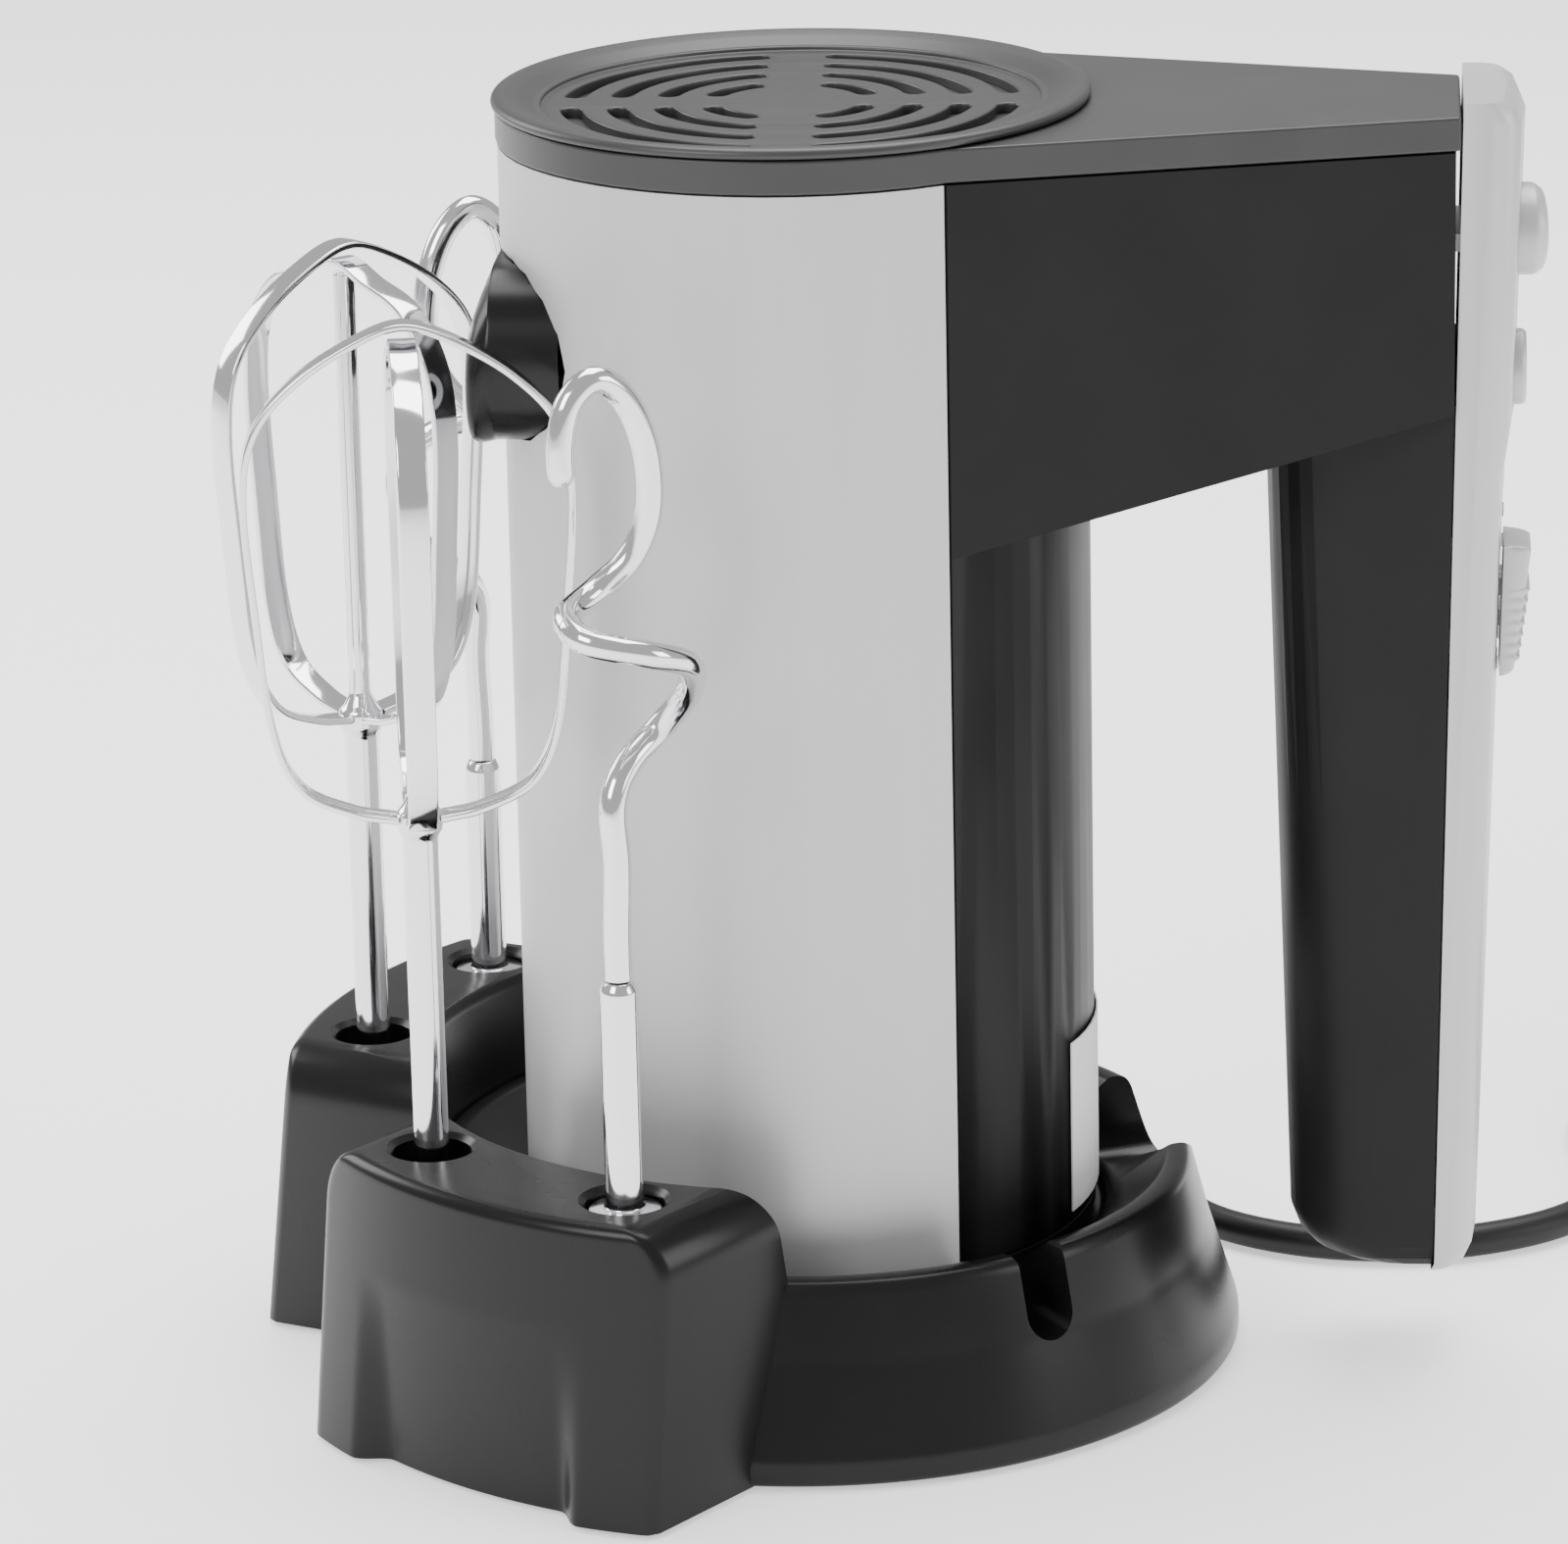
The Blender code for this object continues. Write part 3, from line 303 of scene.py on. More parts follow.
class Term:
    """One value of a material's node tree. Arithmetic on it adds Math nodes."""

    def __init__(self, graph: "Graph", socket: bpy.types.NodeSocket) -> None:
        """Keeps the graph and the socket that gives the value."""
        self.graph = graph
        self.socket = socket

    def _math(self, operation: str, first: "Term | float", second: "Term | float") -> "Term":
        """One Math node of the operation on two values."""
        return self.graph.node("ShaderNodeMath", {"operation": operation}, {0: first, 1: second})

    def __add__(self, other: "Term | float") -> "Term":
        """Sum."""
        return self._math("ADD", self, other)

    def __mul__(self, other: "Term | float") -> "Term":
        """Product."""
        return self._math("MULTIPLY", self, other)

    def sine(self) -> "Term":
        """Sine of the value."""
        return self._math("SINE", self, 0.0)

    def above(self, low: float, high: float) -> "Term":
        """0 below low, 1 above high, and a smooth step between."""
        return self.graph.node(
            "ShaderNodeMapRange", {"interpolation_type": "SMOOTHSTEP"},
            {"Value": self, "From Min": low, "From Max": high},
        )


class Graph:
    """The node tree of one material."""

    def __init__(self, name: str) -> None:
        """Makes the material and keeps its Principled shader."""
        self.material = bpy.data.materials.new(name)
        self.material.use_nodes = True
        self.tree = self.material.node_tree
        self.shader = self.tree.nodes["Principled BSDF"]

    def node(self, kind: str, settings: dict[str, object], inputs: dict[str | int, object],
             output: str | int = 0) -> Term:
        """Adds a node.

        Args:
            kind: the node's type.
            settings: properties set first.
            inputs: a value or a Term for each named or numbered socket.
            output: the socket that is given back.

        Returns:
            The chosen output.
        """
        made = self.tree.nodes.new(kind)
        for name, value in settings.items():
            setattr(made, name, value)
        for name, value in inputs.items():
            self.put(made.inputs[name], value)
        return Term(self, made.outputs[output])

    def put(self, socket: bpy.types.NodeSocket, value: object) -> None:
        """Links a Term to a socket, or sets the socket's own value."""
        if isinstance(value, Term):
            self.tree.links.new(value.socket, socket)
        else:
            socket.default_value = value

    def place(self, scale: tuple[float, float, float]) -> Term:
        """Object coordinates in millimetres, times a scale on each axis."""
        where = self.node("ShaderNodeTexCoord", {}, {}, "Object")
        size = tuple(s / MM for s in scale)
        return self.node("ShaderNodeMapping", {}, {"Vector": where, "Scale": size})

    def noise(self, scale: tuple[float, float, float], detail: float = 3.0) -> Term:
        """Noise of 0 to 1 with the given number of bumps to the millimetre on each axis."""
        return self.node("ShaderNodeTexNoise", {},
                         {"Vector": self.place(scale), "Scale": 1.0, "Detail": detail})

    def height(self) -> Term:
        """Height above the table in millimetres."""
        return self.node("ShaderNodeSeparateXYZ", {}, {"Vector": self.place((1.0, 1.0, 1.0))}, "Z")

    def shade(self, low: tuple, high: tuple, factor: Term) -> Term:
        """A colour between two, by a factor."""
        mix = self.node("ShaderNodeMix", {"data_type": "RGBA"}, {"Factor": factor}, 2)
        colours = [s for s in mix.socket.node.inputs if s.type == "RGBA"]
        colours[0].default_value = (*low, 1.0)
        colours[1].default_value = (*high, 1.0)
        return mix

    def bump(self, height: Term, depth: float) -> Term:
        """A normal from a height of 0 to 1 that stands for a depth in millimetres."""
        return self.node("ShaderNodeBump", {}, {"Strength": 1.0, "Distance": depth * MM, "Height": height})


class Grain(Enum):
    """How a surface was made, which sets its pattern."""

    MOULDED = "spark-eroded mould, a fine even grain"
    POLISHED = "polished, with faint wipe marks"
    SPRAYED = "sprayed paint over a smooth moulding, with a slight orange peel"
    BRUSHED = "drawn or brushed along Z"
    STACKED = "thin sheets stacked along Z"
    WOUND = "wire laid side by side"
    PRINTED = "film with a plain border"


@dataclass(frozen=True)
class Finish:
    """One finish of the object.

    Attributes:
        name: the material's name.
        colour: its base colour.
        roughness: middle roughness.
        metallic: metallic value.
        grain: the pattern.
        spread: how far colour and roughness wander, as a share.
        depth: the grain's depth in millimetres.
        coat: clear coat weight.
        specular: strength of the plain gloss.
    """

    name: str
    colour: tuple[float, float, float]
    roughness: float
    metallic: float = 0.0
    grain: Grain = Grain.MOULDED
    spread: float = 0.08
    depth: float = 0.006
    coat: float = 0.0
    specular: float = 0.5

    def pattern(self, graph: Graph) -> tuple[Term, Term]:
        """The slow pattern that varies colour and roughness, and the fine height of the bump."""
        if self.grain is Grain.MOULDED:
            return graph.noise((0.05, 0.05, 0.05)), graph.noise((4.0, 4.0, 4.0), 1.0)
        if self.grain is Grain.POLISHED:
            return graph.noise((0.12, 0.12, 0.03)), graph.noise((0.6, 0.6, 0.2), 2.0)
        if self.grain is Grain.SPRAYED:
            return graph.noise((0.14, 0.14, 0.004), 2.0), graph.noise((1.6, 1.6, 1.6), 1.0)
        if self.grain is Grain.BRUSHED:
            return graph.noise((3.0, 3.0, 0.03)), graph.noise((6.0, 6.0, 0.06), 1.0)
        if self.grain is Grain.STACKED:
            sheets = (graph.height() * (math.tau / 0.8)).sine() * 0.5 + 0.5
            return sheets, sheets
        if self.grain is Grain.WOUND:
            turns = (graph.height() * (math.tau / 0.9) + graph.noise((0.2, 0.2, 0.2)) * 3.0).sine()
            return turns * 0.5 + 0.5, turns * 0.5 + 0.5
        return graph.noise((0.2, 0.2, 0.2)), graph.noise((2.0, 2.0, 2.0), 1.0)

    def material(self) -> bpy.types.Material:
        """The material of this finish, made once."""
        found = bpy.data.materials.get(self.name)
        if found:
            return found
        graph = Graph(self.name)
        slow, fine = self.pattern(graph)
        low = tuple(channel * (1 - self.spread) for channel in self.colour)
        high = tuple(min(channel * (1 + self.spread), 1.0) for channel in self.colour)
        shader = graph.shader.inputs
        graph.put(shader["Base Color"], graph.shade(low, high, slow.above(0.3, 0.7)))
        graph.put(shader["Roughness"], slow * (self.roughness * self.spread * 2)
                  + self.roughness * (1 - self.spread))
        shader["Metallic"].default_value = self.metallic
        shader["Coat Weight"].default_value = self.coat
        shader["Coat Roughness"].default_value = 0.15
        shader["Specular IOR Level"].default_value = self.specular
        graph.put(shader["Normal"], graph.bump(fine, self.depth))
        return graph.material


SATIN_BLACK = Finish("satin_black", (0.0095, 0.0095, 0.0098), 0.46, spread=0.10, depth=0.004, specular=0.16)
TOP_BLACK = Finish("top_black", (0.030, 0.030, 0.031), 0.40, spread=0.08, depth=0.004, specular=0.45)
STAND_BLACK = Finish("stand_black", (0.0052, 0.0052, 0.0055), 0.27, spread=0.10, depth=0.003, specular=0.26)
SILVER = Finish("sprayed_silver", (0.50, 0.50, 0.505), 0.42, 0.30, Grain.SPRAYED, 0.015, 0.003)
CHROME = Finish("polished_chrome", (0.80, 0.80, 0.81), 0.09, 1.0, Grain.POLISHED, 0.06, 0.0015)
STEEL = Finish("drawn_steel", (0.42, 0.42, 0.44), 0.34, 1.0, Grain.BRUSHED, 0.12, 0.002)
LAMINATION = Finish("stacked_iron", (0.20, 0.20, 0.21), 0.45, 0.9, Grain.STACKED, 0.30, 0.05)
COPPER = Finish("enamelled_wire", (0.50, 0.19, 0.07), 0.33, 0.8, Grain.WOUND, 0.20, 0.12)
BRASS = Finish("turned_brass", (0.65, 0.48, 0.18), 0.30, 1.0, Grain.BRUSHED, 0.08, 0.002)
NYLON = Finish("white_nylon", (0.72, 0.71, 0.67), 0.45, spread=0.05)
CARBON = Finish("pressed_carbon", (0.04, 0.04, 0.04), 0.62, 0.2, spread=0.2, depth=0.02)
CIRCUIT = Finish("green_board", (0.012, 0.050, 0.024), 0.42, spread=0.15)
CORD_JACKET = Finish("cord_jacket", (0.008, 0.008, 0.008), 0.45, spread=0.12, depth=0.008, specular=0.3)
FOOT_RUBBER = Finish("foot_rubber", (0.028, 0.028, 0.028), 0.72, spread=0.12, depth=0.02)
FILM = Finish("label_film", (0.83, 0.83, 0.83), 0.42, 0.0, Grain.PRINTED, 0.02, 0.002)
MARKS = Finish("mark_grey", (0.33, 0.33, 0.34), 0.5, spread=0.05, depth=0.001)

CAD_FINISHES = {
    STEEL: ("ejector_bar", "motor_shaft", "left_spindle", "right_spindle"),
    CIRCUIT: ("speed_board",),
    CARBON: ("turbo_switch", "carbon_brush_1", "carbon_brush_2"),
    LAMINATION: ("motor_stator",),
    COPPER: ("field_coil_1", "field_coil_2", "armature", "commutator"),
    BRASS: ("lower_bearing_bush", "upper_bearing_bush", "brush_holder_1", "brush_holder_2"),
    NYLON: ("cooling_fan", "gearbox_frame", "left_worm_wheel", "right_worm_wheel"),
    SATIN_BLACK: ("lower_bearing_bracket", "upper_bearing_bracket"),
    CHROME: ("plug_pin_1", "plug_pin_2"),
}

BODY_OF = {node: body for body, nodes in frame["record"]["behaviour"]["bodies"].items() for node in nodes}


def shaped(base: bpy.types.Object, cuts: list[bpy.types.Object],
           joined: tuple[bpy.types.Object, ...] = (), sharp: float = 35.0) -> bpy.types.Object:
    """A solid joined with others and then cut by others, all of which are used up.

    Args:
        base: the solid to start from.
        cuts: the solids that are taken from it.
        joined: the solids that it is joined with first.
        sharp: the angle in degrees over which an edge stays sharp.

    Returns:
        The finished solid under the base's name.
    """
    for operation, others in (("UNION", joined), ("DIFFERENCE", cuts)):
        for other in others:
            step = base.modifiers.new(operation.lower(), "BOOLEAN")
            step.operation = operation
            step.object = other
    name = base.name
    data = baked(base)
    for other in (*joined, *cuts):
        bpy.data.objects.remove(other)
    data.name = name
    return finished(name, data, sharp)


def upright_bar(outline: np.ndarray, low: float, high: float) -> np.ndarray:
    """An outline of (across, height) points stretched along X from low to high, as a (2, n, 3) grid."""
    return gridded(np.array([[low], [high]]), outline[:, 0], outline[:, 1])


def dress(piece: bpy.types.Object, finish: Finish, stands_for: tuple[str, ...]) -> bpy.types.Object:
    """Gives a piece its finish and lets it stand for CAD nodes on their body.

    Args:
        piece: a finished object.
        finish: its finish.
        stands_for: the nodes that it replaces, or one node that it sits on.

    Returns:
        The piece.
    """
    piece.data.materials.clear()
    piece.data.materials.append(finish.material())
    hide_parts(*stands_for)
    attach(piece, BODY_OF[stands_for[0]])
    LOG.info("%s stands for %s", piece.name, ", ".join(stands_for))
    return piece


def even_round(data: bpy.types.Mesh) -> None:
    """Points the normals of upright faces round the motor axis straight out from it.

    Args:
        data: the mesh of a shell that is concentric with the motor.
    """
    normals = [corner.vector.copy() for corner in data.corner_normals]
    for face in data.polygons:
        for index in face.loop_indices:
            point = data.vertices[data.loops[index].vertex_index].co
            out = Vector((point.x - AXIS[0], point.y - AXIS[1], 0.0)).normalized()
            facing = face.normal.dot(out)
            if abs(facing) > ROUND_COSINE:
                normals[index] = out if facing > 0.0 else -out
    data.normals_split_custom_set(normals)


def softened(node: str, finish: Finish, width: float, sharp: float = 32.0,
             rounded: bool = False) -> bpy.types.Object:
    """A merged copy of a CAD shell with its hard edges rounded.

    Args:
        node: the CAD node.
        finish: its finish.
        width: the rounding's width in millimetres, or 0 for none.
        sharp: the angle in degrees over which an edge counts as hard.
        rounded: whether its faces lie on cylinders about the motor axis.

    Returns:
        The piece that stands for the node.
    """
    data = bpy.data.objects[node].data.copy()
    work = bmesh.new()
    work.from_mesh(data)
    bmesh.ops.remove_doubles(work, verts=work.verts, dist=CAD_WELD)
    if width:
        bmesh.ops.dissolve_limit(work, angle_limit=math.radians(FLAT_ANGLE), verts=work.verts,
                                 edges=work.edges)
    work.to_mesh(data)
    work.free()
    data.shade_smooth()
    data.set_sharp_from_angle(angle=math.radians(sharp))
    if rounded:
        even_round(data)
    made = linked(f"{node}_shell", data)
    if width:
        bevel = made.modifiers.new("edges", "BEVEL")
        bevel.width = width * MM
        bevel.segments = 3
        bevel.limit_method = "ANGLE"
        bevel.angle_limit = math.radians(sharp)
        bevel.harden_normals = True
    return dress(made, finish, (node,))


@dataclass
class MotorBody:
    """The round body: shells, top plate and vent grille, in millimetres from its axis."""

    shells: tuple[tuple[str, Finish, float, float], ...] = (
        ("motor_sleeve", SILVER, 0.0, 32.0), ("housing_left", SATIN_BLACK, 0.0, 15.2),
        ("housing_right", SATIN_BLACK, 0.0, 15.2), ("heel_cap", SATIN_BLACK, 0.3, 32.0),
        ("top_plate", TOP_BLACK, 0.5, 32.0), ("rating_label", FILM, 0.0, 32.0),
    )
    snout_face: float = -53.0
    snout_half: float = 34.5
    snout_low: float = 169.5
    snout_top: float = 200.0
    snout_back: float = -37.0
    snout_ease: float = 2.2
    ramp_length: float = 4.0
    ramp_drop: float = 9.5
    bore_radius: float = 6.5
    mouth_radius: float = 7.3
    spindle_y: float = 18.0
    spindle_z: float = 178.0
    grille_radius: float = 51.0
    disc_radius: float = 41.5
    disc_top: float = 223.4
    disc_thickness: float = 2.0
    slot_radii: tuple[float, ...] = (39.2, 31.4, 23.6, 15.8)
    slot_width: float = 3.7
    spoke_halves: tuple[float, float] = (4.0, 4.7)
    spoke_turn: float = 2.4

    def slot_outline(self, outer: float, quarter: int) -> np.ndarray:
        """A curved slot with round ends: two arcs a slot's width apart, joined by half circles.

        Args:
            outer: radius of the slot's outer edge.
            quarter: 0 to 3, anticlockwise from +X.

        Returns:
            (n, 2) points.
        """
        half = self.slot_width / 2
        middle = outer - half
        first, last = (math.asin((spoke + half) / middle) for spoke in self.spoke_halves)
        if quarter % 2:
            first, last = last, first
        start = quarter * math.pi / 2 + first + math.radians(self.spoke_turn)
        end = (quarter + 1) * math.pi / 2 - last + math.radians(self.spoke_turn)
        sweep = np.linspace(start, end, 28)
        turn = np.linspace(0, math.pi, 9)[1:-1]
        outside = outer * around(sweep)
        inside = (outer - self.slot_width) * around(sweep)[::-1]
        far_cap = middle * around([end]) + half * around(end + turn)
        near_cap = middle * around([start]) + half * around(start + math.pi + turn)
        return np.vstack([outside, far_cap, inside, near_cap])

    def disc(self) -> bpy.types.Object:
        """The slotted disc, an outline with holes that is extruded and eased at its edges."""
        outlines = [circle(self.disc_radius + 0.6, 128)]
        for outer in self.slot_radii:
            outlines += [self.slot_outline(outer, quarter) for quarter in range(4)]
        ease = 0.35
        data = bpy.data.curves.new("grille_disc", "CURVE")
        data.dimensions = "2D"
        data.fill_mode = "BOTH"
        data.extrude = (self.disc_thickness / 2 - ease) * MM
        data.bevel_depth = ease * MM
        data.offset = -ease * MM
        data.bevel_resolution = 2
        for outline in outlines:
            spline = data.splines.new("POLY")
            spline.points.add(len(outline) - 1)
            flat = np.column_stack([outline * MM, np.zeros(len(outline)), np.ones(len(outline))])
            spline.points.foreach_set("co", flat.ravel())
            spline.use_cyclic_u = True
        mesh = baked(linked("grille_disc_outline", data))
        middle = self.disc_top - self.disc_thickness / 2
        mesh.transform(Matrix.Translation(axis_point(0, 0, middle)))
        return finished("grille_disc", mesh)

    def lip(self) -> bpy.types.Object:
        """The dished ring round the disc, a profile turned about the axis."""
        edge = self.disc_radius
        rim = self.grille_radius
        profile = eased([
            (edge, 221.6), (edge + 0.9, 221.6), (edge + 0.9, 224.1), (rim - 0.2, 224.1), (rim, 225.0),
            (rim - 0.6, 225.75), (rim - 2.2, 226.0), (rim - 4.6, 225.3), (edge + 0.8, 223.5), (edge, 223.3),
        ], 0.5)
        return solid("grille_lip", revolved(np.vstack([profile, profile[:1]]), 160))

    def snout(self) -> bpy.types.Object:
        """The tool snout: racetrack sections along X whose top ramps down to a small round-edged face.

        The ramp rises evenly with X, and near the face the section shrinks by a quarter circle.
        """
        ease = self.snout_ease
        front = self.snout_face + ease * (1 - np.cos(np.linspace(0, math.pi / 2, 11)))
        x = np.concatenate([front, np.linspace(front[-1], self.snout_back, 40)[1:]])
        shrink = ease * fallen(1 - (x - self.snout_face) / ease)
        ramp = np.clip((x - self.snout_face) / self.ramp_length, 0, 1)
        top = self.snout_top - self.ramp_drop * (1 - ramp) - 0.8 * shrink
        low = self.snout_low + shrink
        half = self.snout_half - shrink
        radius = (top - low)[:, None] / 2
        middle = (top + low)[:, None] / 2
        straight = half[:, None] - radius
        turn = np.linspace(-math.pi / 2, math.pi / 2, 25)
        right = gridded(x[:, None], straight + radius * np.cos(turn), middle + radius * np.sin(turn))
        left = gridded(x[:, None], -straight - radius * np.cos(turn), middle - radius * np.sin(turn))
        body = np.concatenate([right, left], axis=1)
        pocket = upright_bar(rounded_box(27.0, 16.8, 0.8) + [0, 187.4], -42.5, -30.0)
        cuts = [solid("snout_pocket", pocket)]
        bore, mouth = self.bore_radius, self.mouth_radius
        for side in (-1, 1):
            profile = [(0, -60), (mouth, -60), (mouth, -53.2), (bore, -52.3), (bore, -30), (0, -30)]
            hole = along_x(revolved(profile, 48), side * self.spindle_y, self.spindle_z)
            cuts.append(solid(f"snout_bore_{side + 2}", hole))
        return shaped(solid("snout_shell", body), cuts)

    def build(self) -> None:
        """Makes the shells and the grille."""
        for node, finish, width, sharp in self.shells:
            softened(node, finish, width, sharp, rounded=node == "motor_sleeve")
        dress(self.snout(), STAND_BLACK, ("tool_snout",))
        dress(self.disc(), TOP_BLACK, ("vent_grille",))
        dress(self.lip(), TOP_BLACK, ("vent_grille",))


@dataclass
class Handle:
    """The handle's cover and its controls, in millimetres from the motor body's axis."""

    eject_height: float = 201.0
    turbo_height: float = 177.0
    slider_low: float = 124.0
    slider_high: float = 147.0
    slider_half: float = 6.6
    mark_count: int = 6
    mark_size: float = 3.4
    mark_offset: float = 10.6
    mark_low: float = 127.5
    mark_pitch: float = 5.4
    cover_low: tuple[float, float] = (117.2, 18.0)
    lean: float = 0.0275
    step_low: float = 160.0
    step_length: float = 10.0
    step_depth: float = 1.2

    def face(self, z: np.ndarray | float) -> np.ndarray:
        """X of the cover's face at a height: a straight lean and an even step above the slider."""
        low_x, low_z = self.cover_low
        step = np.clip((np.asarray(z) - self.step_low) / self.step_length, 0, 1)
        return low_x + (np.asarray(z) - low_z) * self.lean + self.step_depth * step

    def eject_button(self) -> bpy.types.Object:
        """A tall round button with a collar and a slanted, softly domed end."""
        profile = eased([
            (0, 116.5), (9.4, 116.5), (9.4, 119.2), (7.85, 119.2), (7.85, 126.2), (6.7, 127.9), (4.4, 128.5),
            (0, 128.6),
        ], 0.7)
        grid = revolved(profile, 64)
        slant = np.clip((grid[..., 2] - 119.2) / 9.4, 0, 1)
        grid[..., 2] -= slant * (0.9 + 0.9 * grid[..., 0] / 7.85)
        return solid("eject_cap", along_x(grid, 0.0, self.eject_height))

    def turbo_button(self) -> bpy.types.Object:
        """A small round button: a raised ring, a groove and a shallow dish."""
        profile = eased([
            (0, 117.0), (8.0, 117.0), (8.0, 119.4), (6.5, 119.4), (6.5, 123.9), (5.9, 124.6), (4.8, 124.55),
            (4.4, 123.9), (4.0, 123.9), (3.7, 124.3), (1.5, 123.8), (0, 123.7),
        ], 0.35)
        return solid("turbo_cap", along_x(revolved(profile, 64), 0.0, self.turbo_height))

    def slider(self) -> bpy.types.Object:
        """The slider: a ribbed wedge over the cover's face that is rounded off at its ends and sides.

        The outline's height over the cover is a rising wedge plus a cosine rib pattern; across the
        slider it is scaled by a quarter ellipse over the last millimetre and a half at each side.
        """
        z = np.linspace(self.slider_low, self.slider_high, 120)
        t = (z - self.slider_low) / (self.slider_high - self.slider_low)
        ribs = np.where((t > 0.10) & (t < 0.66), 0.38 * (1 - np.cos(t * math.tau * 11.5)), 0.0)
        wedge = 2.4 + 2.4 * t + ribs
        ends = np.sqrt(np.clip(1 - np.clip(np.abs(t - 0.5) * 2 - 0.90, 0, None) ** 2 / 0.01, 0, 1))
        height = wedge * (0.25 + 0.75 * ends)
        base = self.face(z) + 0.3
        across = np.linspace(-1, 1, 41)
        side = np.sqrt(np.clip(1 - np.clip(np.abs(across) - 0.78, 0, None) ** 2 / 0.0484, 0, 1))
        y = across * self.slider_half
        top = base[:, None] + height[:, None] * (0.3 + 0.7 * side[None])
        upper = gridded(top, y, z[:, None])
        low = gridded(base[:, None], y, z[:, None])
        return solid("slider_cap", np.concatenate([upper, low[:, ::-1]], axis=1))

    def slider_stem(self) -> bpy.types.Object:
        """The slider's stem through the cover and its foot inside it."""
        grids = []
        for low, high, half, z_low, z_high in (
            (112.0, 121.2, 2.5, 129.5, 141.5), (111.0, 113.5, 7.0, 126.0, 145.0),
        ):
            outline = rounded_box(half, (z_high - z_low) / 2, 0.6) + [0, (z_low + z_high) / 2]
            grids.append(upright_bar(outline, low, high))
        return solid("slider_stem", *grids)

    def marks(self) -> bpy.types.Object:
        """Plain numbers from 0 up beside the slider, each a thin raised figure on the cover's face."""
        work = bmesh.new()
        stand = Matrix(((0, 0, 1, 0), (1, 0, 0, 0), (0, 1, 0, 0), (0, 0, 0, 1)))
        tilt = Matrix.Rotation(math.atan(self.lean), 4, "Y")
        for number in range(self.mark_count):
            z = self.mark_low + number * self.mark_pitch
            text = bpy.data.curves.new(f"mark_{number}", "FONT")
            text.body = str(number)
            text.size = self.mark_size * MM
            text.align_x = "CENTER"
            text.align_y = "CENTER"
            text.extrude = 0.12 * MM
            text.resolution_u = 3
            mesh = baked(linked(f"mark_{number}", text))
            spot = axis_point(float(self.face(z)) - 0.25, -self.mark_offset, z)
            mesh.transform(Matrix.Translation(spot) @ tilt @ stand)
            work.from_mesh(mesh)
            bpy.data.meshes.remove(mesh)
        data = bpy.data.meshes.new("speed_marks")
        work.to_mesh(data)
        work.free()
        return finished("speed_marks", data)

    def build(self) -> None:
        """Makes the cover and its controls."""
        softened("handle_cover", SILVER, 0.45)
        dress(self.eject_button(), SILVER, ("eject_button",))
        dress(self.turbo_button(), SILVER, ("turbo_button",))
        dress(self.slider(), SILVER, ("speed_slider",))
        dress(self.slider_stem(), SILVER, ("speed_slider",))
        marks = self.marks()
        marks.data.materials.append(MARKS.material())
        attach(marks, "mixer")


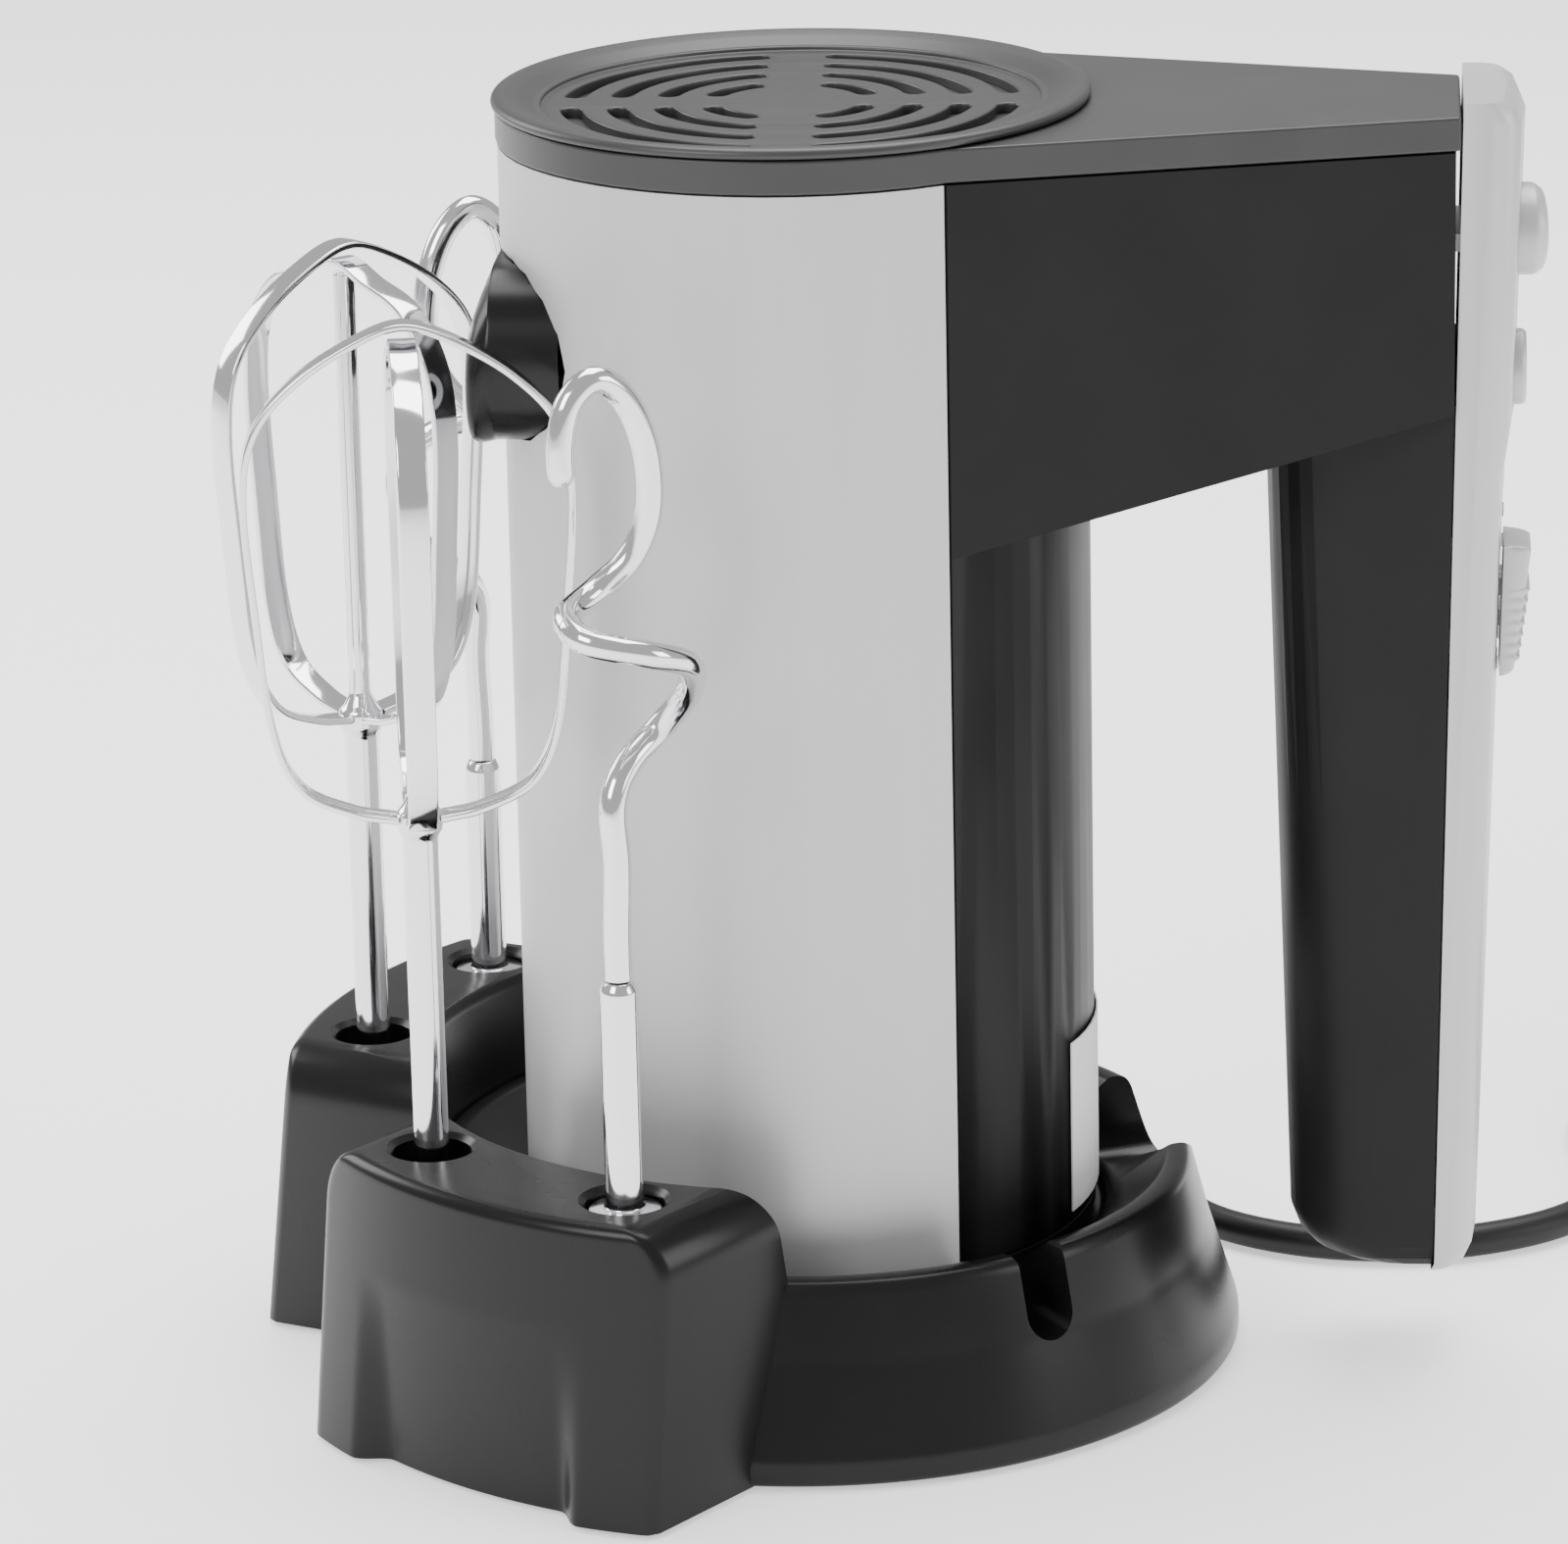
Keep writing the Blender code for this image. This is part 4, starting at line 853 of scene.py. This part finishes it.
@dataclass
class Stand:
    """The storage stand, its holes and its feet, in millimetres from the stand's axis."""

    hole_circle: float = 79.3
    hole_angles: tuple[float, ...] = (-54.5, -23.0, 23.0, 54.5)
    foot_circle: float = 58.0
    hole_floor: float = 7.0
    hole_radius: float = 6.8
    wing_angle: float = 38.7
    wing_top: float = 52.8
    wing_shoulder: float = 43.0
    wing_halves: tuple[float, float] = (29.6, 8.7)
    wing_outer: float = 92.8
    wing_inner: float = 66.4
    wing_lean: float = 5.8
    wing_round: float = 2.2
    notch_angle: float = 67.0
    notch_radius: float = 4.75
    gap_angle: float = 6.5
    cut_reach: tuple[float, float] = (52.8, 85.0)

    def holes(self) -> np.ndarray:
        """(4, 2) centres of the tool holes in the mixer's axes, from near outer to far outer."""
        angle = np.radians(self.hole_angles)
        flat = self.hole_circle * np.stack([-np.cos(angle), np.sin(angle), 0 * angle], axis=1)
        return turned_about(flat, STAND_TURN)[:, :2]

    def wing(self, side: int) -> bpy.types.Object:
        """One tool wing, as closed plan sections at rising heights.

        Its outer arc leans in evenly with height and has a shallow flute, a smooth step of the
        distance from the middle that fades out upwards. Over the shoulder the wing's half width
        closes in along a quarter ellipse, and its top edge is a quarter circle.
        """
        shoulder = self.wing_shoulder
        dome = self.wing_top - shoulder
        z = np.concatenate([[1.0], np.linspace(1.6, shoulder, 36),
                            shoulder + dome * np.sin(np.linspace(0.04, math.pi / 2, 22))])
        closed, swell = self.wing_halves
        half = closed + swell * (1 - fallen((z - shoulder) / dome))
        edge = self.wing_round * fallen((z - self.wing_top) / self.wing_round + 1)
        outer = self.wing_outer + self.wing_lean * (self.wing_top - z) / self.wing_top - edge
        inner = self.wing_inner + np.clip(z - 34.8, 0, None) * 0.155 + edge * 0.6
        share = np.linspace(-1, 1, 81)[None]
        v = half[:, None] * share
        near = np.clip((25.5 - np.abs(v)) / 7.0, 0, 1)
        flute = 5.0 * np.clip(1 - z / 34.0, 0, 1)[:, None] * near**2 * (3 - 2 * near)
        corner = 1.6 * fallen((np.abs(share) - 0.955) / 0.045)
        out = np.stack([-np.sqrt(outer[:, None] ** 2 - v**2) + flute + corner, v], axis=-1)
        w = half[:, None] * -np.linspace(-1, 1, 41)[None]
        back = np.stack([-np.sqrt(inner[:, None] ** 2 - w**2), w], axis=-1)
        plan = np.concatenate([out, back], axis=1)
        grid = gridded(plan[..., 0], plan[..., 1], z[:, None])
        return solid(f"stand_wing_{side + 2}", turned_about(grid, side * self.wing_angle + STAND_TURN))

    def moulding(self) -> bpy.types.Object:
        """The ring, a turned profile, joined with both wings and cut by holes, notches and the rear gap."""
        profile = np.vstack([
            [(0, 23.7)], eased([
                (50.0, 23.7), (51.6, 23.7), (52.4, 26.5), (62.2, 33.8), (63.4, 34.8), (66.0, 34.8),
                (67.3, 33.4), (70.5, 21.0), (75.6, 5.0), (75.6, 1.0), (72.8, 1.0), (67.5, 17.6), (66.0, 17.6),
            ], 1.2), [(0, 17.6)],
        ])
        ring = solid("stand_shell", revolved(profile, 180))
        wings = (self.wing(-1), self.wing(1))
        cuts = []
        bore, mouth = self.hole_radius, self.hole_radius + 1.5
        for number, (x, y) in enumerate(self.holes(), start=1):
            hole = revolved([
                (0, self.hole_floor), (bore, self.hole_floor), (bore, 51.9), (mouth, 53.2),
                (mouth, 60.0), (0, 60.0),
            ], 56)
            cuts.append(solid(f"stand_hole_{number}", hole + [x, y, 0]))
        radius = self.notch_radius
        foot = radius * around(np.linspace(math.pi, math.tau, 25)) + [0, 24.75]
        sides = np.array([(radius, 34.0), (5.6, 35.4), (5.6, 45.0)])
        notch = np.vstack([sides[::-1] * [-1, 1], foot, sides])
        for side in (-1, 1):
            bar = turned_about(upright_bar(notch, *self.cut_reach), side * self.notch_angle + STAND_TURN)
            cuts.append(solid(f"stand_notch_{side + 2}", bar))
        gap = eased([
            (-26.0, 45.0), (-23.0, 34.2), (-16.0, 30.5), (3.0, 20.5), (9.0, 20.5), (11.6, 22.0), (12.6, 25.0),
            (14.6, 45.0),
        ], 1.5)
        bar = turned_about(upright_bar(gap, *self.cut_reach), self.gap_angle + STAND_TURN)
        cuts.append(solid("stand_gap", bar))
        return shaped(ring, cuts, wings, 40.0)

    def feet(self) -> None:
        """Round rubber feet with a soft lower edge."""
        profile = eased([(0, 0), (5.5, 0), (6.0, 0.6), (6.0, 17.3), (0, 17.3)], 0.5)
        for number, angle in enumerate((45, 135, 225, 315), start=1):
            x, y = self.foot_circle * around([math.radians(angle + STAND_TURN)])[0]
            foot = solid(f"foot_{number}", revolved(profile, 40) + [x, y, 0])
            dress(foot, FOOT_RUBBER, (f"stand_foot_{number}",))

    def build(self) -> None:
        """Makes the stand's moulding and its feet."""
        dress(self.moulding(), STAND_BLACK, ("storage_stand",))
        self.feet()


@dataclass
class Tool:
    """One beater tool that stands in the stand, in millimetres above its tip."""

    name: str
    place: np.ndarray
    turn: float
    tip: float = 7.3

    def put(self, grid: np.ndarray, extra_turn: float = 0.0) -> np.ndarray:
        """A grid about the tool's own axis, turned and moved to its hole."""
        return turned_about(grid, self.turn + extra_turn) + [*self.place, self.tip]

    def lugs(self, height: float, reach: float) -> np.ndarray:
        """A flat bayonet lug on both sides: an upright rounded plate through the shank."""
        outline = rounded_box(reach, 2.3, 1.6)
        return gridded(outline[:, 0], np.array([[-0.7], [0.7]]), outline[:, 1] + height)


@dataclass
class Whisk(Tool):
    """A balloon whisk of two crossed flat loops on a round shaft."""

    length: float = 190.0
    strip: tuple[float, float] = (0.6, 2.5)

    def loop(self, top: float) -> np.ndarray:
        """A flat strip along a closed-over loop, with its width always square to the loop's plane.

        Args:
            top: height of the loop's crown over the tip.

        Returns:
            (n, m, 3) grid.
        """
        half = np.array([
            (3.6, 0, 104.5), (11.0, 0, 106.0), (19.5, 0, 110.5), (24.0, 0, 121.0), (26.0, 0, 140.0),
            (27.3, 0, 160.0), (25.2, 0, 172.0), (18.0, 0, 180.5), (8.0, 0, top - 2.6), (0.0, 0, top),
        ])
        route = np.vstack([half, half[-2::-1] * [-1, 1, 1]])
        path = smooth_path(route, 7)
        ahead = unit(np.gradient(path, axis=0))
        across = np.cross(ahead, [0.0, 1.0, 0.0])
        section = rounded_box(*self.strip, 0.35, 3)
        return (path[:, None] + section[None, :, :1] * across[:, None]
                + section[None, :, 1:] * np.array([0.0, 1.0, 0.0]))

    def build(self) -> None:
        """Makes the shaft and both loops."""
        shaft = eased([
            (0, 0), (1.8, 0), (1.8, 5.5), (3.0, 12.0), (3.0, 101.0), (3.9, 102.5), (3.9, 105.5), (3.0, 106.5),
            (1.9, 108.5), (1.9, 184.6), (0, 184.6),
        ], 0.6)
        grids = [self.put(revolved(shaft, 40)), self.put(self.lugs(36.0, 4.4), 45.0)]
        dress(solid(f"{self.name}_stem", *grids), CHROME, (f"{self.name}_shaft",))
        for letter, turn, top in (("a", 0.0, self.length - 0.6), ("b", 90.0, self.length - 3.6)):
            loop = solid(f"{self.name}_strip_{letter}", self.put(self.loop(top), turn))
            dress(loop, CHROME, (f"{self.name}_loop_{letter}",))


@dataclass
class DoughHook(Tool):
    """A spiral dough hook bent from round wire on a shank with a collar."""

    wire: float = 2.3

    def build(self) -> None:
        """Makes the shank and the bent wire."""
        route = [
            (0, 0, 84.3), (0, 0, 92.0), (0.4, 0, 104.0), (0.2, 0.5, 114.0), (4.0, 2.0, 120.0),
            (11.0, 3.0, 125.0), (13.0, -3.0, 132.0), (9.0, -10.0, 139.0), (0.0, -12.5, 143.0),
            (-8.5, -7.5, 145.5), (-7.5, 0.5, 147.5), (0.0, 4.0, 150.0), (6.0, 2.5, 155.0),
            (8.5, 0.5, 163.0), (8.0, 0, 173.0), (4.5, 0, 182.0), (-1.0, 0, 186.4),
            (-6.0, 0, 183.5), (-8.0, 0, 177.0), (-8.0, 0, 170.0),
        ]
        path = smooth_path(route, 9)
        size = np.ones(len(path))
        size[-3:] = (0.96, 0.85, 0.6)
        section = circle(self.wire, 16)[None] * size[:, None, None]
        wire = solid(f"{self.name}_rod", self.put(carried(path, section)))
        dress(wire, CHROME, (f"{self.name}_wire",))
        shank = eased([
            (0, 0), (1.8, 0), (1.8, 5.5), (3.2, 12.0), (3.2, 42.0), (6.4, 42.3), (6.4, 43.9), (3.2, 44.2),
            (3.2, 82.4), (2.4, 84.0), (0, 84.0),
        ], 0.5)
        grids = [self.put(revolved(shank, 40)), self.put(self.lugs(35.0, 4.4), 60.0)]
        dress(solid(f"{self.name}_stem", *grids), CHROME, (f"{self.name}_shank",))


@dataclass
class MainsCord:
    """The mains cord: where it leaves the body, its route and its coil, in millimetres."""

    radius: float = 3.0
    outlet_angle: float = 84.0
    outlet_height: float = 35.0
    coil_centre: tuple[float, float] = (179.0, 104.0)
    coil_start: float = 221.3
    lead: Route = (
        (7.9, 75.4, 35.0), (9.0, 86.0, 34.2), (13.5, 96.5, 28.6), (23.5, 103.5, 18.5), (36.5, 101.0, 8.4),
        (47.0, 90.0, 3.6), (55.5, 75.0, 3.1), (62.5, 59.0, 3.1), (72.5, 45.5, 3.1), (88.0, 37.5, 3.1),
        (105.0, 36.0, 3.1), (120.0, 40.0, 3.1), (133.0, 48.5, 3.1), (141.8, 61.0, 3.1), (147.0, 75.9, 3.1),
    )
    tail: Route = (
        (221.4, 98.0, 3.1), (222.0, 91.0, 3.1), (222.2, 84.0, 3.1),
    )
    winding: Route = (
        (0.0, 42.6, 3.1), (0.25, 36.2, 3.1), (1.85, 26.5, 3.1), (2.05, 26.5, 9.2), (3.337, 34.4, 9.2),
        (3.45, 39.3, 9.0), (3.53, 41.6, 6.5), (3.637, 42.8, 3.1),
    )
    per_turn: int = 18
    ribs: int = 6

    def turns(self) -> np.ndarray:
        """The coil: the first layer runs inwards on the table, the second outwards on top of it.

        Radius and height are interpolated over the turns, and the angle runs clockwise.
        """
        stops, radii, heights = np.array(self.winding).T
        count = int(stops[-1] * self.per_turn)
        turn = np.linspace(0, stops[-1], count + 1)[1:-1]
        angle = math.radians(self.coil_start) - turn * math.tau
        radius = np.interp(turn, stops, radii)
        flat = radius[:, None] * around(angle) + self.coil_centre
        return np.column_stack([flat, np.interp(turn, stops, heights)])

    def path(self) -> np.ndarray:
        """The whole centreline in metres, from the strain relief to the plug."""
        route = np.vstack([self.lead, self.turns(), self.tail])
        return smooth_path(route, 5) * MM + AXIS

    def relief(self) -> bpy.types.Object:
        """A tapered strain relief: its radius falls from collar to tip and is cut by even grooves."""
        along = np.linspace(43.0, 75.0, 160)
        radius = np.interp(along, [43, 45.4, 45.5, 52, 58, 66, 75], [6.6, 6.6, 4.6, 4.5, 4.3, 3.9, 3.5])
        phase = (along - 53.0) / 20.0 * self.ribs
        groove = np.where((along > 53.0) & (along < 73.0), np.cos(phase * math.tau) > 0.35, False)
        profile = np.stack([radius - 0.45 * groove, along], axis=1)
        profile = np.vstack([[(0, 43.0)], profile, [(0, 75.0)]])
        grid = along_x(revolved(profile, 32), 0.0, self.outlet_height)
        return solid("cord_relief", turned_about(grid, self.outlet_angle))

    def plug(self) -> bpy.types.Object:
        """The plug's body: rounded sections along -Y that grow to a flat face.

        Half widths and half heights are interpolated and then smoothed. Finger grooves are a
        cosine of the distance, taken from the width over its waist.
        """
        along = np.linspace(0.4, 46.0, 90)
        stops = [0.4, 14, 20, 24, 38, 46]
        kernel = np.hanning(11) / np.hanning(11).sum()
        wide, thick = (
            np.convolve(np.pad(np.interp(along, stops, halves), 5, mode="edge"), kernel, mode="valid")
            for halves in ([3.6, 4.4, 8.5, 13.0, 13.4, 12.0], [2.9, 2.95, 3.6, 5.6, 6.2, 5.4])
        )
        wide -= np.where((along > 25) & (along < 40), 0.35 * (1 - np.cos(along * math.tau / 3.0)), 0)
        end_x, end_y = self.tail[-1][:2]
        ring = circle(1.0, 48)
        bulge = np.sign(ring) * np.abs(ring) ** 0.72
        x = end_x + wide[:, None] * bulge[:, 0]
        z = thick[:, None] + 0.15 + thick[:, None] * bulge[:, 1]
        return solid("plug", gridded(x, end_y - along[:, None], z))

    def build(self) -> None:
        path = self.path()
        tube = grid_mesh("mains_cord", [carried(path, circle(self.radius * MM, 14))])
        tube.data.materials.append(CORD_JACKET.material())
        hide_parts("cord_lead", "cord_coil", "cord_tail")
        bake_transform(tube)
        plug = dress(self.plug(), CORD_JACKET, ("plug_body",))
        dress(self.relief(), CORD_JACKET, ("strain_relief",))


def aimed(thing: bpy.types.Object, turn: np.ndarray, spot: np.ndarray | tuple) -> None:
    """Places a camera or a lamp.

    Args:
        thing: the object.
        turn: its right, its up and the way back from what it looks at, as the columns of a matrix.
        spot: its place in metres.
    """
    matrix = Matrix(turn.tolist()).to_4x4()
    matrix.translation = spot
    thing.matrix_world = matrix


@dataclass
class Studio:
    """Camera, floor and soft lights. Angles are in degrees and lengths in metres."""

    azimuth: float = 5.0
    elevation: float = 17.24
    roll: float = -1.21
    distance: float = 1.240
    aim_side: float = -0.00353
    aim_height: float = 0.1042
    lens: float = 163.1
    floor: float = 6.0
    lights: tuple[tuple[str, tuple[float, float, float], float, float], ...] = (
        ("key", (-0.75, -1.0, 1.0), 0.7, 13.0),
        ("top", (0.1, 0.45, 1.5), 1.2, 34.0),
        ("right", (1.35, -0.35, 0.55), 0.6, 6.0),
        ("rim", (-1.1, 0.6, 0.7), 0.6, 8.0),
    )

    def camera(self) -> None:
        """Aims the camera from its angles, then rolls it about its own line of sight."""
        az, el, roll = (math.radians(v) for v in (self.azimuth, self.elevation, self.roll))
        back = np.array([math.sin(az) * math.cos(el), -math.cos(az) * math.cos(el), math.sin(el)])
        right = np.array([math.cos(az), math.sin(az), 0.0])
        up = np.cross(back, right)
        rolled_right = math.cos(roll) * right + math.sin(roll) * up
        rolled_up = -math.sin(roll) * right + math.cos(roll) * up
        aim = AXIS + self.aim_side * right + np.array([0, 0, self.aim_height])
        data = bpy.data.cameras.new("camera")
        data.lens = self.lens
        data.sensor_width = 36.0
        data.clip_end = 50.0
        camera = linked("camera", data)
        aimed(camera, np.stack([rolled_right, rolled_up, back], axis=1), aim + back * self.distance)
        bpy.context.scene.camera = camera

    def light(self, name: str, spot: tuple[float, float, float], size: float, power: float) -> None:
        """One square soft light that faces the middle of the object."""
        data = bpy.data.lights.new(name, "AREA")
        data.shape = "SQUARE"
        data.size = size
        data.energy = power
        back = unit(np.array(spot) - [0, 0, 0.12])
        right = unit(np.cross([0, 0, 1.0], back))
        aimed(linked(name, data), np.stack([right, np.cross(back, right), back], axis=1), spot)

    def build(self) -> None:
        """Sets the camera, the floor, the lights and the pale surroundings."""
        self.camera()
        half = self.floor
        data = bpy.data.meshes.new("floor")
        corners = [(-half, -half, 0), (half, -half, 0), (half, half, 0), (-half, half, 0)]
        data.from_pydata(corners, [], [(0, 1, 2, 3)])
        graph = Graph("pale_floor")
        graph.shader.inputs["Base Color"].default_value = (0.93, 0.93, 0.93, 1.0)
        graph.shader.inputs["Roughness"].default_value = 0.8
        graph.shader.inputs["Emission Color"].default_value = (1.0, 1.0, 1.0, 1.0)
        graph.shader.inputs["Emission Strength"].default_value = 0.8
        data.materials.append(graph.material)
        linked("floor", data)
        for name, spot, size, power in self.lights:
            self.light(name, spot, size, power)
        world = bpy.data.worlds.new("studio")
        world.use_nodes = True
        backdrop = world.node_tree.nodes["Background"]
        backdrop.inputs["Color"].default_value = (1.0, 1.0, 1.0, 1.0)
        backdrop.inputs["Strength"].default_value = 0.6
        bpy.context.scene.world = world


def dress_cad() -> None:
    """Gives the CAD nodes that stay as they are their finishes."""
    for finish, nodes in CAD_FINISHES.items():
        for node in nodes:
            data = bpy.data.objects[node].data
            data.materials.clear()
            data.materials.append(finish.material())
            LOG.info("%s keeps its shape in %s", node, finish.name)


def main() -> None:
    """Builds the scene in order: camera and cord, mixer, stand and tools."""
    Studio().build()
    MainsCord().build()
    dress_cad()
    MotorBody().build()
    Handle().build()
    stand = Stand()
    stand.build()
    near_outer, near_inner, far_inner, far_outer = stand.holes()
    tools = (
        Whisk("left_whisk", near_inner, STAND_TURN - 7.0),
        Whisk("right_whisk", far_inner, STAND_TURN + 28.0),
        DoughHook("left_hook", near_outer, STAND_TURN + 20.0),
        DoughHook("right_hook", far_outer, STAND_TURN + 200.0),
    )
    for tool in tools:
        tool.build()
        LOG.info("%s is ready", tool.name)


if __name__ == "__main__":
    main()
